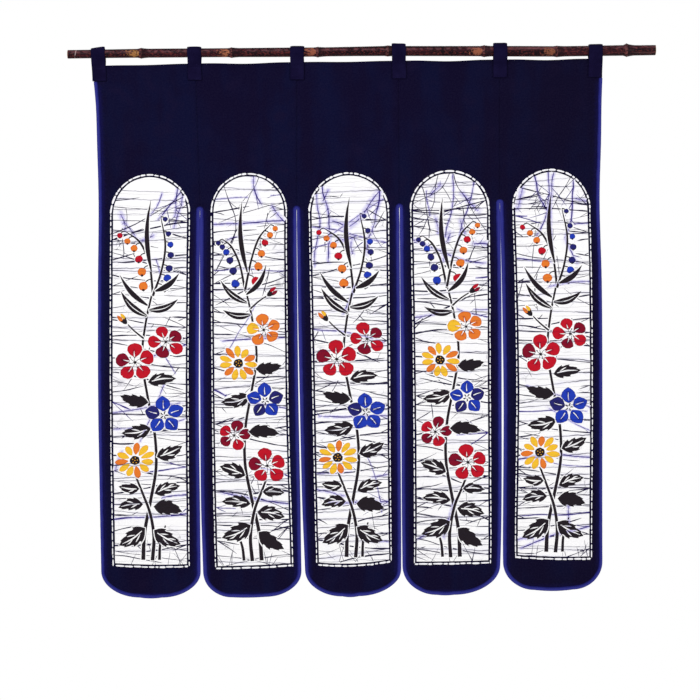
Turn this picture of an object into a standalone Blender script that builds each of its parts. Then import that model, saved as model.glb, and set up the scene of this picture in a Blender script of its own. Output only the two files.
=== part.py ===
# Noren curtain: five cloth strips joined at the top, hung by six tabs on a bamboo rod.
# Metres, +Z up. The origin is inside the rod at mid-length, and the front faces -Y.
# A drop is a distance below the origin, and cloth widths are measured from the cloth's centre line.

import bisect
import math
from collections import namedtuple

import bmesh
import bpy
from mathutils import Vector

# Gap left between pieces that touch in the real curtain
CLEAR = 0.0003

# Bamboo rod: its two ends and the joints between them, where it bends a little and swells.
# Rise is the height of its axis.
RodPlace = namedtuple("RodPlace", "x rise radius swelling")
ROD_PLACES = (
    RodPlace(-0.4972, -0.0003, 0.0072, 0.0),
    RodPlace(-0.3724, 0.0005, 0.0075, 0.0016),
    RodPlace(-0.2194, 0.0005, 0.0077, 0.0014),
    RodPlace(-0.0734, 0.0005, 0.0079, 0.0010),
    RodPlace(0.0446, 0.0014, 0.0084, 0.0010),
    RodPlace(0.2076, -0.0004, 0.0088, 0.0014),
    RodPlace(0.3306, -0.0019, 0.0089, 0.0010),
    RodPlace(0.4486, -0.0009, 0.0089, 0.0022),
    RodPlace(0.4972, -0.0006, 0.0088, 0.0),
)
ROD_SIDES = 16
ROD_END_ROUNDING = 0.0006
ROD_BORE_RADIUS = 0.0036
ROD_BORE_DEPTH = 0.012
SWELLING_HALF_LENGTH = 0.0055
# Height of a swelling at each step along it, as a share of its full height: a ridge with a groove beside it
RidgeStep = namedtuple("RidgeStep", "along share")
RIDGE = (
    RidgeStep(-1.0, 0.0),
    RidgeStep(-0.25, 1.0),
    RidgeStep(0.15, 0.9),
    RidgeStep(0.45, -0.15),
    RidgeStep(1.0, 0.0),
)

# Cloth
CLOTH_CENTRE = -0.0241
CLOTH_THICKNESS = 0.0015
CLOTH_TOP = 0.018
SEAM_GAP = CLEAR
COLUMNS = 8
HEADING_ROWS = 8
STRIP_ROWS = 12
CORNER_STEPS = 5

# Outer sides and seams: their place across the cloth at each drop
Lines = namedtuple("Lines", "drop left seam_1 seam_2 seam_3 seam_4 right")
LINES = (
    Lines(0.018, -0.4320, -0.2565, -0.0855, 0.0865, 0.2575, 0.4310),
    Lines(0.048, -0.4293, -0.2560, -0.0858, 0.0864, 0.2572, 0.4296),
    Lines(0.090, -0.4260, -0.2553, -0.0863, 0.0862, 0.2568, 0.4278),
    Lines(0.150, -0.4246, -0.2542, -0.0872, 0.0858, 0.2560, 0.4266),
    Lines(0.255, -0.4228, -0.2520, -0.0885, 0.0854, 0.2551, 0.4233),
    Lines(0.400, -0.4252, -0.2540, -0.0880, 0.0851, 0.2566, 0.4256),
    Lines(0.590, -0.4267, -0.2554, -0.0871, 0.0849, 0.2576, 0.4254),
    Lines(0.760, -0.4255, -0.2548, -0.0850, 0.0848, 0.2562, 0.4241),
    Lines(0.921, -0.4236, -0.2534, -0.0820, 0.0846, 0.2534, 0.4231),
)

# Slits: the drop at the top of each one's blue arch, and the clear width between the two taped edges
ARCH_TOP = {"seam_1": 0.2595, "seam_2": 0.2595, "seam_3": 0.2570, "seam_4": 0.2510}
Gaps = namedtuple("Gaps", "drop seam_1 seam_2 seam_3 seam_4")
GAPS = (
    Gaps(0.2575, 0.0004, 0.0004, 0.0004, 0.0004),
    Gaps(0.300, 0.0006, 0.0012, 0.0012, 0.0007),
    Gaps(0.420, 0.0019, 0.0017, 0.0010, 0.0024),
    Gaps(0.590, 0.0034, 0.0032, 0.0026, 0.0046),
    Gaps(0.760, 0.0027, 0.0029, 0.0016, 0.0037),
    Gaps(0.850, 0.0047, 0.0050, 0.0024, 0.0053),
    Gaps(0.921, 0.0052, 0.0060, 0.0032, 0.0065),
)

# Rounded hem of each strip: its lowest drop, the width of each corner's curve and their height,
# how far the hem bulges between them, and how far the top edge sags between the tabs
Hem = namedtuple("Hem", "drop left_corner right_corner corner_height bulge top_sag")
HEMS = (
    Hem(0.9205, 0.065, 0.065, 0.043, 0.0015, 0.0022),
    Hem(0.9210, 0.046, 0.060, 0.043, 0.0010, 0.0010),
    Hem(0.9207, 0.060, 0.070, 0.043, 0.0015, 0.0016),
    Hem(0.9208, 0.057, 0.074, 0.045, 0.0010, 0.0008),
    Hem(0.9130, 0.050, 0.050, 0.042, 0.0020, 0.0004),
)

# Folds of each strip, positive to the back: bow of the heading between its tabs, then at the hem
# how far the edges curl, how far the right edge is turned back, and how far the strip swings
Fold = namedtuple("Fold", "bow curl twist swing")
FOLDS = (
    Fold(-0.0048, 0.0070, -0.0036, -0.0024),
    Fold(0.0034, -0.0052, 0.0042, 0.0030),
    Fold(-0.0040, 0.0062, 0.0026, -0.0036),
    Fold(0.0042, -0.0064, -0.0034, 0.0034),
    Fold(-0.0032, 0.0050, 0.0046, -0.0018),
)
CURL_MEAN = 0.4  # taken off a curl, so that the strip keeps its place as its edges turn
BOW_FADE = 0.34
HELD_FLAT = 0.135  # share of the width between two tabs, beside each, that they hold flat
WAVE_DEPTH = 0.0034
WAVE_LENGTH = 0.61
WAVE_START = 0.25
WAVE_FULL = 0.55
SAG_FADE = 0.10

# Tabs: each one's place across the cloth, how far its top leans right, the drop of its lower ends,
# and how far its loop stands above the rod at its left and right side
TAB_WIDTH = 0.0235
TAB_THICKNESS = 0.0022
TAB_COLUMNS = 2
TAB_ARC_STEPS = 10
TAB_BEND = 0.004
LEG_EASE = 0.0004  # how far a tab's leg has moved out where its bend ends
LEG_RISE = 0.0012
Tab = namedtuple("Tab", "x lean end slack_left slack_right")
TABS = (
    Tab(-0.4195, -0.0025, 0.0462, 0.0002, 0.0030),
    Tab(-0.2582, -0.0006, 0.0458, 0.0008, 0.0007),
    Tab(-0.0852, 0.0004, 0.0465, 0.0002, 0.0002),
    Tab(0.0874, -0.0005, 0.0460, 0.0022, 0.0016),
    Tab(0.2582, 0.0004, 0.0456, 0.0030, 0.0032),
    Tab(0.4190, 0.0008, 0.0462, 0.0003, 0.0002),
)

# Blue tape folded over the edges
TAPE_THICKNESS = 0.0005
TAPE_WIDTH = 0.0063
TAPE_START = 0.0472
TAPE_EASE = 0.0005  # from the cloth's faces to the tape's covers, which lie flat over its curves
ARCH_STEPS = 8

# The cloth's edge stands this far from the tape's outer face, and from a slit's centre line at its top
TAPE_REACH = TAPE_THICKNESS + CLEAR
SLIT_EDGE = 0.0010

NORMAL_STEP = 0.001  # between the points that give the cloth's slope
SHARP_ANGLE = math.radians(35)

# Finishes: red, green and blue as a screen shows them, then the roughness
BAMBOO = (78, 42, 36, 0.35)
NAVY_COTTON = (20, 14, 46, 0.9)
NAVY_TAB = (17, 12, 40, 0.9)
BLUE_TAPE = (35, 46, 150, 0.75)


def clear_scene():
    for obj in list(bpy.data.objects):
        bpy.data.objects.remove(obj, do_unlink=True)


def linear(channel):
    """A screen colour's channel, from 0 to 255, as the linear value that a shader takes."""
    share = channel / 255
    return share / 12.92 if share <= 0.04045 else ((share + 0.055) / 1.055) ** 2.4


def make_material(name, finish):
    material = bpy.data.materials.new(name)
    material.use_nodes = True
    shader = material.node_tree.nodes["Principled BSDF"]
    shader.inputs["Base Color"].default_value = (*(linear(channel) for channel in finish[:3]), 1)
    shader.inputs["Roughness"].default_value = finish[3]
    shader.inputs["Metallic"].default_value = 0
    return material


def make_object(name, mesh_builder, finish, parent=None, location=(0, 0, 0)):
    mesh = bpy.data.meshes.new(name)
    mesh_builder.to_mesh(mesh)
    mesh_builder.free()
    mesh.shade_smooth()
    mesh.set_sharp_from_angle(angle=SHARP_ANGLE)
    mesh.materials.append(make_material(name, finish))
    obj = bpy.data.objects.new(name, mesh)
    obj.parent = parent
    obj.location = location
    bpy.context.scene.collection.objects.link(obj)
    return obj


def loft(rings):
    """A closed shape through rings of points, with a face over the first and the last."""
    builder = bmesh.new()
    loops = [[builder.verts.new(point) for point in ring] for ring in rings]
    for loop, following in zip(loops, loops[1:]):
        for i, corner in enumerate(loop):
            j = (i + 1) % len(loop)
            builder.faces.new((corner, loop[j], following[j], following[i]))
    builder.faces.new(loops[0])
    builder.faces.new(loops[-1])
    bmesh.ops.recalc_face_normals(builder, faces=builder.faces)
    return builder


def grid_faces(builder, rows):
    corners = [[builder.verts.new(point) for point in row] for row in rows]
    for row, following in zip(corners, corners[1:]):
        for i in range(len(row) - 1):
            builder.faces.new((row[i], row[i + 1], following[i + 1], following[i]))
    return corners


def border(rows):
    """A grid's outer points in order round it."""
    right = [row[-1] for row in rows[1:-1]]
    left = [row[0] for row in rows[1:-1]]
    return rows[0] + right + rows[-1][::-1] + left[::-1]


def sheet(front_rows, back_rows):
    """A closed sheet between two grids of points, a thickness apart."""
    builder = bmesh.new()
    front = border(grid_faces(builder, front_rows))
    back = border(grid_faces(builder, back_rows))
    for i, corner in enumerate(front):
        j = (i + 1) % len(front)
        builder.faces.new((corner, front[j], back[j], back[i]))
    bmesh.ops.recalc_face_normals(builder, faces=builder.faces)
    return builder


def even_steps(start, end, count):
    return [start + (end - start) * i / count for i in range(count + 1)]


def ease(share):
    """0 below 0 and 1 above 1, with a smooth rise between."""
    share = min(max(share, 0), 1)
    return share * share * (3 - 2 * share)


def slope(drops, values, i):
    low = max(i - 1, 0)
    high = min(i + 1, len(drops) - 1)
    return (values[high] - values[low]) / (drops[high] - drops[low])


def along(table, column, drop):
    """The value of a table's column at a drop, on a smooth curve through its rows."""
    drops = [row.drop for row in table]
    values = [getattr(row, column) for row in table]
    i = min(max(bisect.bisect_right(drops, drop) - 1, 0), len(table) - 2)
    span = drops[i + 1] - drops[i]
    t = min(max((drop - drops[i]) / span, 0), 1)
    from_ends = values[i] * (1 + 2 * t) * (1 - t) ** 2 + values[i + 1] * t * t * (3 - 2 * t)
    from_slopes = slope(drops, values, i) * t * (1 - t) ** 2 - slope(drops, values, i + 1) * t * t * (1 - t)
    return from_ends + span * from_slopes


# Rod


def rod_value(column, x):
    """The rod's rise or radius at x, on a straight line from joint to joint."""
    places = [place.x for place in ROD_PLACES]
    values = [getattr(place, column) for place in ROD_PLACES]
    i = min(max(bisect.bisect_right(places, x) - 1, 0), len(places) - 2)
    share = (x - places[i]) / (places[i + 1] - places[i])
    return values[i] + (values[i + 1] - values[i]) * share


def rod_ring(x, radius):
    rise = rod_value("rise", x)
    turns = [math.tau * i / ROD_SIDES for i in range(ROD_SIDES)]
    return [Vector((x, radius * math.cos(turn), rise + radius * math.sin(turn))) for turn in turns]


def end_rings(x, inwards):
    """The rings of one cut end, from the floor of its bore out to the skin."""
    radius = rod_value("radius", x)
    return [
        rod_ring(x + inwards * ROD_BORE_DEPTH, ROD_BORE_RADIUS),
        rod_ring(x, ROD_BORE_RADIUS),
        rod_ring(x, radius - ROD_END_ROUNDING),
        rod_ring(x + inwards * ROD_END_ROUNDING, radius),
    ]


def make_rod():
    rings = end_rings(ROD_PLACES[0].x, 1)
    for joint in ROD_PLACES[1:-1]:
        for step in RIDGE:
            x = joint.x + step.along * SWELLING_HALF_LENGTH
            rings.append(rod_ring(x, rod_value("radius", x) + step.share * joint.swelling))
    rings += reversed(end_rings(ROD_PLACES[-1].x, -1))
    make_object("rod", loft(rings), BAMBOO)


# Cloth


def slit_centre(seam):
    """The drop at the centre of the small arc that ends a slit."""
    return ARCH_TOP[seam] + SLIT_EDGE + TAPE_WIDTH - TAPE_REACH


def edge_offset(line, drop):
    """How far the cloth's edge stands from a side or seam line."""
    if line not in ARCH_TOP:
        return TAPE_REACH
    above = slit_centre(line) - drop
    if above <= 0:
        return along(GAPS, line, drop) / 2 + TAPE_REACH
    return max(SEAM_GAP / 2, math.sqrt(max(SLIT_EDGE**2 - above**2, 0)))


def strip_lines(strip):
    names = Lines._fields[1:]
    return names[strip], names[strip + 1]


def cloth_sides(strip, drop):
    left, right = strip_lines(strip)
    left_edge = along(LINES, left, drop) + edge_offset(left, drop)
    right_edge = along(LINES, right, drop) - edge_offset(right, drop)
    return left_edge, right_edge


def tab_share(x):
    """Which strip hangs at x, and how far x lies between its tabs: 0 or 1 where they hold it."""
    places = [tab.x for tab in TABS]
    strip = min(max(bisect.bisect_right(places, x) - 1, 0), len(FOLDS) - 1)
    share = (x - places[strip]) / (places[strip + 1] - places[strip])
    share = (share - HELD_FLAT) / (1 - 2 * HELD_FLAT)
    return strip, min(max(share, 0), 1)


def free_start(strip):
    """The drop from which a strip hangs free of its neighbours."""
    return max(slit_centre(line) for line in strip_lines(strip) if line in ARCH_TOP)


def depth(strip, x, drop):
    """How far back the cloth's middle surface lies."""
    bay, share = tab_share(x)
    bow = FOLDS[bay].bow * math.sin(math.pi * share) ** 2 * (1 - ease((drop - CLOTH_TOP) / BOW_FADE))
    wave = WAVE_DEPTH * math.sin(math.tau * x / WAVE_LENGTH) * ease((drop - WAVE_START) / WAVE_FULL)
    fold = FOLDS[strip]
    left, right = cloth_sides(strip, drop)
    across = (2 * x - left - right) / (right - left)
    free = ease((drop - free_start(strip)) / (HEMS[strip].drop - free_start(strip)))
    hang = free * (fold.curl * (across**2 - CURL_MEAN) + fold.twist * across + fold.swing)
    return bow + wave + hang


def hang_point(strip, x, drop):
    return Vector((x, depth(strip, x, drop), -drop))


def front_normal(strip, x, drop):
    rightwards = hang_point(strip, x + NORMAL_STEP, drop) - hang_point(strip, x - NORMAL_STEP, drop)
    upwards = hang_point(strip, x, drop - NORMAL_STEP) - hang_point(strip, x, drop + NORMAL_STEP)
    return rightwards.cross(upwards).normalized()


def slit_rows(strip):
    """The drops of the rows that follow the small arcs at the tops of a strip's slits."""
    shares = (1, math.sqrt(0.5), 0)
    centres = {slit_centre(line) for line in strip_lines(strip) if line in ARCH_TOP}
    return sorted(centre - SLIT_EDGE * share for centre in centres for share in shares)


def cloth_rows(strip):
    """Rows of places across the cloth and drops, from the top edge to the rounded hem."""
    hem = HEMS[strip]
    slits = slit_rows(strip)
    corner_top = hem.drop - hem.bulge - hem.corner_height
    drops = even_steps(CLOTH_TOP, slits[0], HEADING_ROWS) + slits[1:-1]
    drops += even_steps(slits[-1], corner_top, STRIP_ROWS)
    rows = []
    for drop in drops:
        left, right = cloth_sides(strip, drop)
        places = even_steps(left, right, COLUMNS)
        sag = hem.top_sag * (1 - ease((drop - CLOTH_TOP) / SAG_FADE))
        rows.append([(x, drop + sag * math.sin(math.pi * tab_share(x)[1]) ** 2) for x in places])
    for turn in even_steps(0, math.pi / 2, CORNER_STEPS)[1:]:
        drop = corner_top + hem.corner_height * math.sin(turn)
        left, right = cloth_sides(strip, drop)
        left += hem.left_corner * (1 - math.cos(turn))
        right -= hem.right_corner * (1 - math.cos(turn))
        bulge = hem.bulge * math.sin(turn)
        shares = even_steps(-1, 1, COLUMNS)
        places = even_steps(left, right, COLUMNS)
        rows.append([(x, drop + bulge * (1 - share**2)) for x, share in zip(places, shares)])
    return rows


def cloth_face(strip, offset):
    """The cloth's rows of points, moved forwards from its middle surface."""
    return [
        [hang_point(strip, x, drop) + offset * front_normal(strip, x, drop) for x, drop in row]
        for row in cloth_rows(strip)
    ]


def make_panels(parent):
    for strip in range(len(HEMS)):
        front, back = (cloth_face(strip, side * CLOTH_THICKNESS / 2) for side in (1, -1))
        make_object(f"panel_{strip + 1}", sheet(front, back), NAVY_COTTON, parent)


# Tabs


def tab_section(radius, rise, slack):
    """The tab's middle line as (back, up) points, from its front end over the rod to its back end."""
    loop = radius + CLEAR + TAB_THICKNESS / 2
    beside = CLOTH_THICKNESS / 2 + CLEAR + TAB_THICKNESS / 2
    meet = CLOTH_TOP + TAB_BEND
    reach = math.hypot(beside, meet + rise)
    touch = math.atan2(-meet - rise, beside) + math.acos(loop / reach)
    back = []
    for turn in even_steps(touch, math.pi / 2, TAB_ARC_STEPS // 2):
        lift = slack * ease(math.sin(turn))
        back.append((loop * math.cos(turn), rise + loop * math.sin(turn) + lift))
    leg_bend = (beside + LEG_EASE, -meet + LEG_RISE)
    back = [(beside, -meet - TAB_BEND), (beside, -meet - TAB_BEND / 3), leg_bend] + back
    front = [(-y, z) for y, z in back]
    return front + back[-2::-1]


def tab_column(tab, share, radius):
    """One line of points from end to end of a tab, at a share of its width from its left side."""
    x = (share - 0.5) * TAB_WIDTH
    slack = tab.slack_left + (tab.slack_right - tab.slack_left) * share
    section = tab_section(radius, rod_value("rise", CLOTH_CENTRE + tab.x + x), slack)
    points = [(section[0][0], -tab.end)] + section + [(section[-1][0], -tab.end)]
    top = max(z for y, z in section)
    return [Vector((x + tab.lean * (z + tab.end) / (top + tab.end), y, z)) for y, z in points]


def make_tabs(parent):
    for number, tab in enumerate(TABS, 1):
        sides = (CLOTH_CENTRE + tab.x - TAB_WIDTH / 2, CLOTH_CENTRE + tab.x + TAB_WIDTH / 2)
        radius = max(rod_value("radius", x) for x in sides)
        columns = [tab_column(tab, share, radius) for share in even_steps(0, 1, TAB_COLUMNS)]
        rows = list(zip(*columns))
        ribbon = bmesh.new()
        grid_faces(ribbon, rows)
        obj = make_object(f"tab_{number}", ribbon, NAVY_TAB, parent, (tab.x, 0, 0))
        solidify = obj.modifiers.new("thickness", "SOLIDIFY")
        solidify.thickness = TAB_THICKNESS
        solidify.offset = 0
        solidify.use_even_offset = True


# Tape


def arch_points(slit):
    """The turn over the top of a slit, from the strip on its left to the one on its right."""
    seam = Lines._fields[slit + 2]
    centre = slit_centre(seam)
    points = []
    for turn in even_steps(0, math.pi, ARCH_STEPS):
        strip = slit if turn < math.pi / 2 else slit + 1
        drop = centre - SLIT_EDGE * math.sin(turn)
        x = along(LINES, seam, centre) - SLIT_EDGE * math.cos(turn)
        points.append((strip, x, drop))
    return points


def strip_outline(strip):
    """The cloth's edge from the top of its left side, round the hem, to the top of its right side."""
    rows = cloth_rows(strip)
    left_line, right_line = strip_lines(strip)
    starts = [
        slit_centre(line) + SLIT_EDGE if line in ARCH_TOP else TAPE_START for line in (left_line, right_line)
    ]
    left = [(strip, *row[0]) for row in rows if row[0][1] > starts[0]]
    hem = [(strip, *point) for point in rows[-1][1:-1]]
    right = [(strip, *row[-1]) for row in reversed(rows) if row[-1][1] > starts[1]]
    if left_line not in ARCH_TOP:
        left.insert(0, (strip, cloth_sides(strip, TAPE_START)[0], TAPE_START))
    if right_line not in ARCH_TOP:
        right.append((strip, cloth_sides(strip, TAPE_START)[1], TAPE_START))
    return left + hem + right


def tape_section(centre, outward, front):
    """The folded tape's outline round the cloth's edge."""
    inside = CLOTH_THICKNESS / 2 + TAPE_EASE
    outside = inside + TAPE_THICKNESS
    cover = TAPE_REACH - TAPE_WIDTH
    corners = (
        (cover, inside),
        (CLEAR, inside),
        (CLEAR, -inside),
        (cover, -inside),
        (cover, -outside),
        (TAPE_REACH, -outside),
        (TAPE_REACH, outside),
        (cover, outside),
    )
    return [centre + outward * out + front * ahead for out, ahead in corners]


def make_edge_binding(parent):
    path = []
    for strip in range(len(HEMS)):
        path += strip_outline(strip)
        if strip + 1 < len(HEMS):
            path += arch_points(strip)
    points = [hang_point(*place) for place in path]
    rings = []
    for i, place in enumerate(path):
        travel = points[min(i + 1, len(points) - 1)] - points[max(i - 1, 0)]
        front = front_normal(*place)
        outward = travel.cross(front).normalized()
        rings.append(tape_section(points[i], outward, front))
    make_object("edge_binding", loft(rings), BLUE_TAPE, parent)


def main():
    clear_scene()
    make_rod()
    cloth = bpy.data.objects.new("cloth_centre", None)
    cloth.location = (CLOTH_CENTRE, 0, 0)
    bpy.context.scene.collection.objects.link(cloth)
    make_panels(cloth)
    make_tabs(cloth)
    make_edge_binding(cloth)


main()
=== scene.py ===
# Noren curtain: five wax-dyed cotton strips with blue taped edges, hung by six tabs on a bamboo rod
import math
import random

import bpy
import numpy as np
from mathutils.geometry import delaunay_2d_cdt
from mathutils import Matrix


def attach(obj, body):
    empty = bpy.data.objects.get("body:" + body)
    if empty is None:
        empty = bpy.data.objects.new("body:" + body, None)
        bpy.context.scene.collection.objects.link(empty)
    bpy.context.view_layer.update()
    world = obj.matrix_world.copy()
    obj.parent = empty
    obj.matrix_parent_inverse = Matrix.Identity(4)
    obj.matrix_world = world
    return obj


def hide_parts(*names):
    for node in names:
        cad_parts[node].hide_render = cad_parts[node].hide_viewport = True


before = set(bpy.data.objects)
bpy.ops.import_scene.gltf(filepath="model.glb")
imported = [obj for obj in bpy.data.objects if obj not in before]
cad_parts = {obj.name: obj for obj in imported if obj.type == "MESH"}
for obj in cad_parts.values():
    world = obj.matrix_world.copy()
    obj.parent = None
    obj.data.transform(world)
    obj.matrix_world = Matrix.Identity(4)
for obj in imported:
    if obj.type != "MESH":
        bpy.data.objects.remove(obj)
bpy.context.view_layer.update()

mm = 0.001
chance = random.Random(31)


# Shared helpers

def screen(red, green, blue):  # a colour as a screen shows it, made linear for a shader
    def linear(channel):
        share = channel / 255
        return share / 12.92 if share <= 0.04045 else ((share + 0.055) / 1.055) ** 2.4
    return (linear(red), linear(green), linear(blue), 1)


def ease(share):
    share = np.clip(share, 0, 1)
    return share * share * (3 - 2 * share)


def curve(table, column, drop):  # a smooth curve through one column of a table
    stops, values = np.array(table["drop"]), np.array(table[column])
    low = np.maximum(np.arange(len(stops)) - 1, 0)
    high = np.minimum(np.arange(len(stops)) + 1, len(stops) - 1)
    slopes = (values[high] - values[low]) / (stops[high] - stops[low])
    i = np.clip(np.searchsorted(stops, drop, side="right") - 1, 0, len(stops) - 2)
    span = stops[i + 1] - stops[i]
    t = np.clip((drop - stops[i]) / span, 0, 1)
    fromEnds = values[i] * (1 + 2 * t) * (1 - t) ** 2 + values[i + 1] * t * t * (3 - 2 * t)
    return fromEnds + span * (slopes[i] * t * (1 - t) ** 2 - slopes[i + 1] * t * t * (1 - t))


def softNoise(x, y, seed):  # smooth random values from 0 to 1, a cell apart
    xCell, yCell = np.floor(x), np.floor(y)
    xPart, yPart = ease(x - xCell), ease(y - yCell)

    def cell(i, j):
        value = np.sin(i * 127.1 + j * 311.7 + seed * 74.7) * 43758.5453
        return value - np.floor(value)
    near = cell(xCell, yCell) * (1 - xPart) + cell(xCell + 1, yCell) * xPart
    far = cell(xCell, yCell + 1) * (1 - xPart) + cell(xCell + 1, yCell + 1) * xPart
    return near * (1 - yPart) + far * yPart


def makeMesh(name, points, faces, material, smooth=True):
    mesh = bpy.data.meshes.new(name)
    mesh.from_pydata([tuple(point) for point in points], [], [tuple(face) for face in faces])
    mesh.materials.append(material)
    if smooth:
        mesh.shade_smooth()
    return addObject(name, mesh)


def addObject(name, data):
    piece = bpy.data.objects.new(name, data)
    bpy.context.scene.collection.objects.link(piece)
    return piece


def giveValues(piece, name, values, domain="POINT", kind="FLOAT", field="value"):
    attribute = piece.data.attributes.new(name, kind, domain)
    attribute.data.foreach_set(field, np.array(values, np.float32).ravel())


def distanceAlong(points):
    return np.concatenate([[0], np.cumsum(np.linalg.norm(np.diff(points, axis=0), axis=1))])


def loftFaces(ringCount, sides):  # faces through rings of points, stored one after another
    faces = []
    for ring in range(ringCount - 1):
        for side in range(sides):
            nextSide = (side + 1) % sides
            here, there = ring * sides, (ring + 1) * sides
            faces.append((here + side, here + nextSide, there + nextSide, there + side))
    lastRing = (ringCount - 1) * sides
    return faces + [tuple(range(sides))[::-1], tuple(lastRing + side for side in range(sides))]


# Shader and geometry maths on sockets

class Wire:
    def __init__(self, board, socket):
        self.board = board
        self.socket = socket

    def maths(self, operation, *values):
        return self.board.add("ShaderNodeMath", {"operation": operation}, dict(enumerate(values)))

    def __add__(self, other):
        return self.maths("ADD", self, other)

    def __radd__(self, other):
        return self.maths("ADD", other, self)

    def __sub__(self, other):
        return self.maths("SUBTRACT", self, other)

    def __rsub__(self, other):
        return self.maths("SUBTRACT", other, self)

    def __mul__(self, other):
        return self.maths("MULTIPLY", self, other)

    def __rmul__(self, other):
        return self.maths("MULTIPLY", other, self)

    def __truediv__(self, other):
        return self.maths("DIVIDE", self, other)

    def __abs__(self):
        return self.maths("ABSOLUTE", self)

    def floor(self):
        return self.maths("FLOOR", self)

    def fraction(self):
        return self.maths("FRACT", self)

    def sine(self):
        return self.maths("SINE", self)

    def most(self, other):
        return self.maths("MAXIMUM", self, other)

    def least(self, other):
        return self.maths("MINIMUM", self, other)

    def rise(self, start, end, low=0, high=1):  # low before start and high after end, smooth between
        values = {"Value": self, "From Min": start, "From Max": end, "To Min": low, "To Max": high}
        return self.board.add("ShaderNodeMapRange", {"interpolation_type": "SMOOTHSTEP"}, values)


class Board:
    def __init__(self, tree):
        self.tree = tree

    def add(self, kind, settings=None, values=None, out=0):
        node = self.tree.nodes.new(kind)
        for name, setting in (settings or {}).items():
            setattr(node, name, setting)
        for name, value in (values or {}).items():
            if isinstance(value, Wire):
                self.tree.links.new(value.socket, node.inputs[name])
            else:
                node.inputs[name].default_value = value
        return Wire(self, node.outputs[out])

    def blend(self, factor, first, second):  # colours
        settings = {"data_type": "RGBA"}
        return self.add("ShaderNodeMix", settings, {0: factor, 6: first, 7: second}, out=2)

    def place(self, x, y, z=0):
        return self.add("ShaderNodeCombineXYZ", {}, {0: x, 1: y, 2: z})

    def noise(self, x, y, scale, detail=2.0, z=0, roughness=0.5):
        values = {"Vector": self.place(x, y, z), "Scale": scale, "Detail": detail, "Roughness": roughness}
        return self.add("ShaderNodeTexNoise", {"noise_dimensions": "3D"}, values)

    def luck(self, value):  # a random number for each whole value
        return self.add("ShaderNodeTexWhiteNoise", {"noise_dimensions": "1D"}, {"W": value})


def startMaterial(name):
    material = bpy.data.materials.new(name)
    material.use_nodes = True
    board = Board(material.node_tree)
    shader = material.node_tree.nodes["Principled BSDF"]
    where = board.add("ShaderNodeTexCoord", out="Object")
    axes = [board.add("ShaderNodeSeparateXYZ", {}, {0: where}, out=axis) for axis in range(3)]
    return material, board, shader, axes


def finishMaterial(board, shader, colour, height, depth, fixed):
    board.tree.links.new(colour.socket, shader.inputs["Base Color"])
    bump = board.add("ShaderNodeBump", {}, {"Height": height, "Distance": depth, "Strength": 1.0})
    board.tree.links.new(bump.socket, shader.inputs["Normal"])
    for name, value in fixed.items():
        shader.inputs[name].default_value = value


# Cloth shape, in metres; a drop is a distance below the rod's axis, x is from the cloth's centre line

curtain = {
    "centreX": -0.0241,
    "top": 0.018,  # of its solid; the heading itself climbs to the right
    "headingTops": (0.0199, 0.0173, 0.0163, 0.0153, 0.0147, 0.0144),  # at the tabs
    "headingSags": (0.0014, 0.0012, 0.0014, 0.0013, 0.0022),  # between them
    "thickness": 0.0008,
    "gridSpacing": 0.0062,
    "gridInset": 0.0085,
    "outlineSpacing": 0.004,
    "seamGap": -0.0001,  # the strips are sewn here, so their edges meet
    "seamDip": 0.0006,
    "seamDipWidth": 0.0016,
    "slitEdge": 0.00084,
    "bowFade": 0.34,
    "heldFlat": 0.135,
    "waveDepth": 0.0034,
    "waveLength": 0.61,
    "waveStart": 0.25,
    "waveFull": 0.55,
    "puckerDepth": 0.00034,
    "puckerLength": 0.017,
    "puckerReach": 0.009,
    "creaseDepth": 0.0011,
    "pullDepth": 0.0009,  # of the folds under each tab
    "pullWidth": 0.012,
    "pullSpread": 0.22,
    "pullFade": 0.07,
    "edgeInsets": (0.0012, 0.0032, 0.0062),  # where the mesh is closer beside an edge
    "blueFrom": 0.005,  # how far from the edge the dye turns bluer
    "blueFade": 0.007,
}
tape = {
    "thickness": 0.00055,
    "clear": 0.00015,
    "width": 0.0063,
    "reach": 0.0008,  # from the cloth's edge to the outer face of the tape's solid
    "puff": 0.0005,  # how much fuller the tape itself is in the slits
    "start": 0.0472,
    "archSteps": 16,
    "dark": screen(14, 12, 72),
    "light": screen(48, 50, 130),
    "glow": screen(156, 156, 232),  # on the fold where light comes through a slit
}
lineNames = ("left", "seam1", "seam2", "seam3", "seam4", "right")
lineTable = {
    "drop": (0.018, 0.048, 0.090, 0.150, 0.255, 0.400, 0.590, 0.760, 0.921),
    "left": (-0.4320, -0.4293, -0.4260, -0.4246, -0.4228, -0.4252, -0.4267, -0.4255, -0.4236),
    "seam1": (-0.2565, -0.2560, -0.2553, -0.2540, -0.2515, -0.2530, -0.2544, -0.2541, -0.2518),
    "seam2": (-0.0855, -0.0858, -0.0862, -0.0868, -0.0877, -0.0876, -0.0861, -0.0838, -0.0804),
    "seam3": (0.0865, 0.0864, 0.0862, 0.0860, 0.0860, 0.0861, 0.0859, 0.0856, 0.0854),
    "seam4": (0.2575, 0.2572, 0.2569, 0.2563, 0.2559, 0.2578, 0.2580, 0.2562, 0.2531),
    "right": (0.4326, 0.4312, 0.4294, 0.4282, 0.4249, 0.4275, 0.4270, 0.4256, 0.4248),
}
archTops = {"seam1": 0.2595, "seam2": 0.2595, "seam3": 0.2570, "seam4": 0.2510}
gapTable = {
    "drop": (0.2575, 0.300, 0.420, 0.590, 0.760, 0.850, 0.921),
    "seam1": (0.0001, 0.0006, 0.0019, 0.0031, 0.0027, 0.0045, 0.0062),
    "seam2": (0.0001, 0.0013, 0.0017, 0.0030, 0.0038, 0.0064, 0.0085),
    "seam3": (0.0006, 0.0012, 0.0013, 0.0023, 0.0020, 0.0027, 0.0045),
    "seam4": (0.0001, 0.0009, 0.0019, 0.0040, 0.0033, 0.0046, 0.0100),
}
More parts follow.
